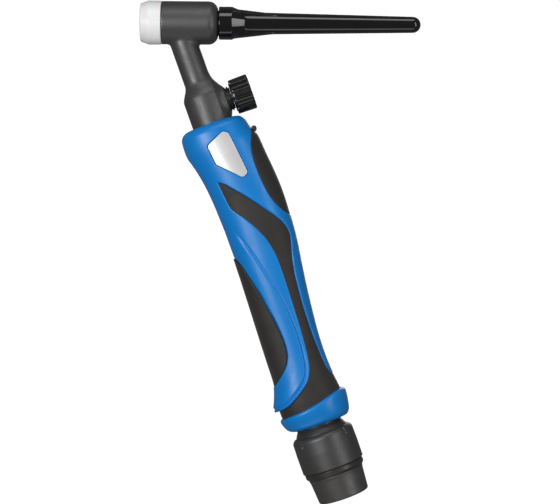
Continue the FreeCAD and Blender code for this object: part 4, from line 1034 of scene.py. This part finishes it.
def end_collar():
    """The blue collar, whose upper edge slopes up towards the front."""
    curve = smooth_curve(COLLAR_TOP)
    columns = 200
    angle = np.arange(columns) * 2 * math.pi / columns
    c, s = np.cos(angle), np.sin(angle)
    unit_x, unit_y = np.sign(c) * np.abs(c) ** REACH, np.sign(s) * np.abs(s) ** REACH

    def ring(inset, height):
        half_x = (COLLAR_FRONT - COLLAR_PALM) / 2 - inset
        return np.stack([(COLLAR_PALM + COLLAR_FRONT) / 2 + half_x * unit_x, (COLLAR_HALF - inset) * unit_y,
                         np.broadcast_to(height, unit_x.shape)], -1)

    full = ring(1.0, 0)
    top = np.interp(full[:, 0], curve[:, 0], curve[:, 1])
    # the lower rim pulls in less at the front
    pull = 1 - 0.35 * smoothstep(unit_x, 0.2, 1.0)
    rings = [ring(inset * (pull if share < 0.8 else 1), SOLE + (top - SOLE) * share)
             for share, inset in smooth_curve(COLLAR_SIDE, 0.2)]
    rings += [ring(2.9, top - 0.15), ring(3.1, top - 1.5), ring(3.3, SOLE + 3.2)]
    bore = ((12.7, 3.2), (12.55, 2.9), (12.55, 0.5), (12.7, 0.15), (13.0, 0.0))
    rings += [np.stack([radius * c, radius * s, np.full(columns, SOLE + up)], -1) for radius, up in bore]
    points = np.vstack(rings)
    count = len(rings)
    faces = []
    for i in range(count):
        low, high = i * columns, ((i + 1) % count) * columns
        for j in range(columns):
            k = (j + 1) % columns
            faces.append((low + j, low + k, high + k, high + j))
    outward(piece("end_collar_moulding", points, faces, "root", "end_collar", sharp=40))


head_jacket()
front_gasket()
head_core()
back_cap()
back_cap_stud()
bonnet()
valve_knob()
tail_stud()
grip()
end_collar()
swivel_ball()
swivel_socket()
lock_ring()
cable_sleeve()

# ---------------------------------------------------------------- camera, lights and surroundings

scene = bpy.context.scene
# from here on, places are metres
AIM = Vector((0.0111, 0, -0.0168))
DISTANCE = 0.95
VIEW_WIDTH = 0.2968
SENSOR = 36.0
ROLL = math.atan2(0.3338, 0.9426)
right = Vector((math.cos(ROLL), 0, -math.sin(ROLL)))
up = Vector((math.sin(ROLL), 0, math.cos(ROLL)))
camera = bpy.data.objects.new("camera", bpy.data.cameras.new("camera"))
scene.collection.objects.link(camera)
camera.data.sensor_width = SENSOR
camera.data.lens = SENSOR * DISTANCE / VIEW_WIDTH
camera.data.clip_end = 50
turn = Matrix((right, up, right.cross(up))).transposed()
camera.matrix_world = Matrix.Translation(AIM - Vector((0, DISTANCE, 0))) @ turn.to_4x4()
scene.camera = camera


def area_light(name, place, size, power, tall=None):
    """A rectangular light that faces the aim point."""
    data = bpy.data.lights.new(name, "AREA")
    data.shape = "RECTANGLE"
    data.size, data.size_y = size, tall or size
    data.energy = power
    item = bpy.data.objects.new(name, data)
    scene.collection.objects.link(item)
    item.location = place
    item.rotation_mode = "QUATERNION"
    item.rotation_quaternion = (AIM - place).to_track_quat("-Z", "Y")


def in_view(across, high, near):
    """A place given in the camera's own directions from the aim point."""
    return AIM + right * across + up * high - Vector((0, near, 0))


area_light("key", in_view(-0.50, 0.06, 0.90), 0.46, 6.6)
area_light("side", in_view(0.72, 0.10, 0.74), 0.26, 3.2, 1.0)
area_light("overhead", in_view(0.0, 0.95, 0.55), 0.9, 2.6, 0.3)
area_light("under", in_view(0.1, -0.95, 0.35), 0.9, 1.0, 0.3)
area_light("back", in_view(0.2, 0.3, -1.3), 0.6, 2.5)

world = bpy.data.worlds.new("studio")
scene.world = world
world.use_nodes = True
tree = world.node_tree
backdrop = tree.nodes["Background"]
socket(backdrop, "Color", (1, 1, 1, 1))
rays = tree.nodes.new("ShaderNodeLightPath")
# the backdrop is seen as white but lights the torch only a little
strength = tree.nodes.new("ShaderNodeMapRange")
socket(strength, "To Min", 0.14)
socket(strength, "To Max", 1.05)
tree.links.new(rays.outputs["Is Camera Ray"], strength.inputs["Value"])
tree.links.new(strength.outputs["Result"], backdrop.inputs["Strength"])
scene.view_settings.view_transform = "Standard"
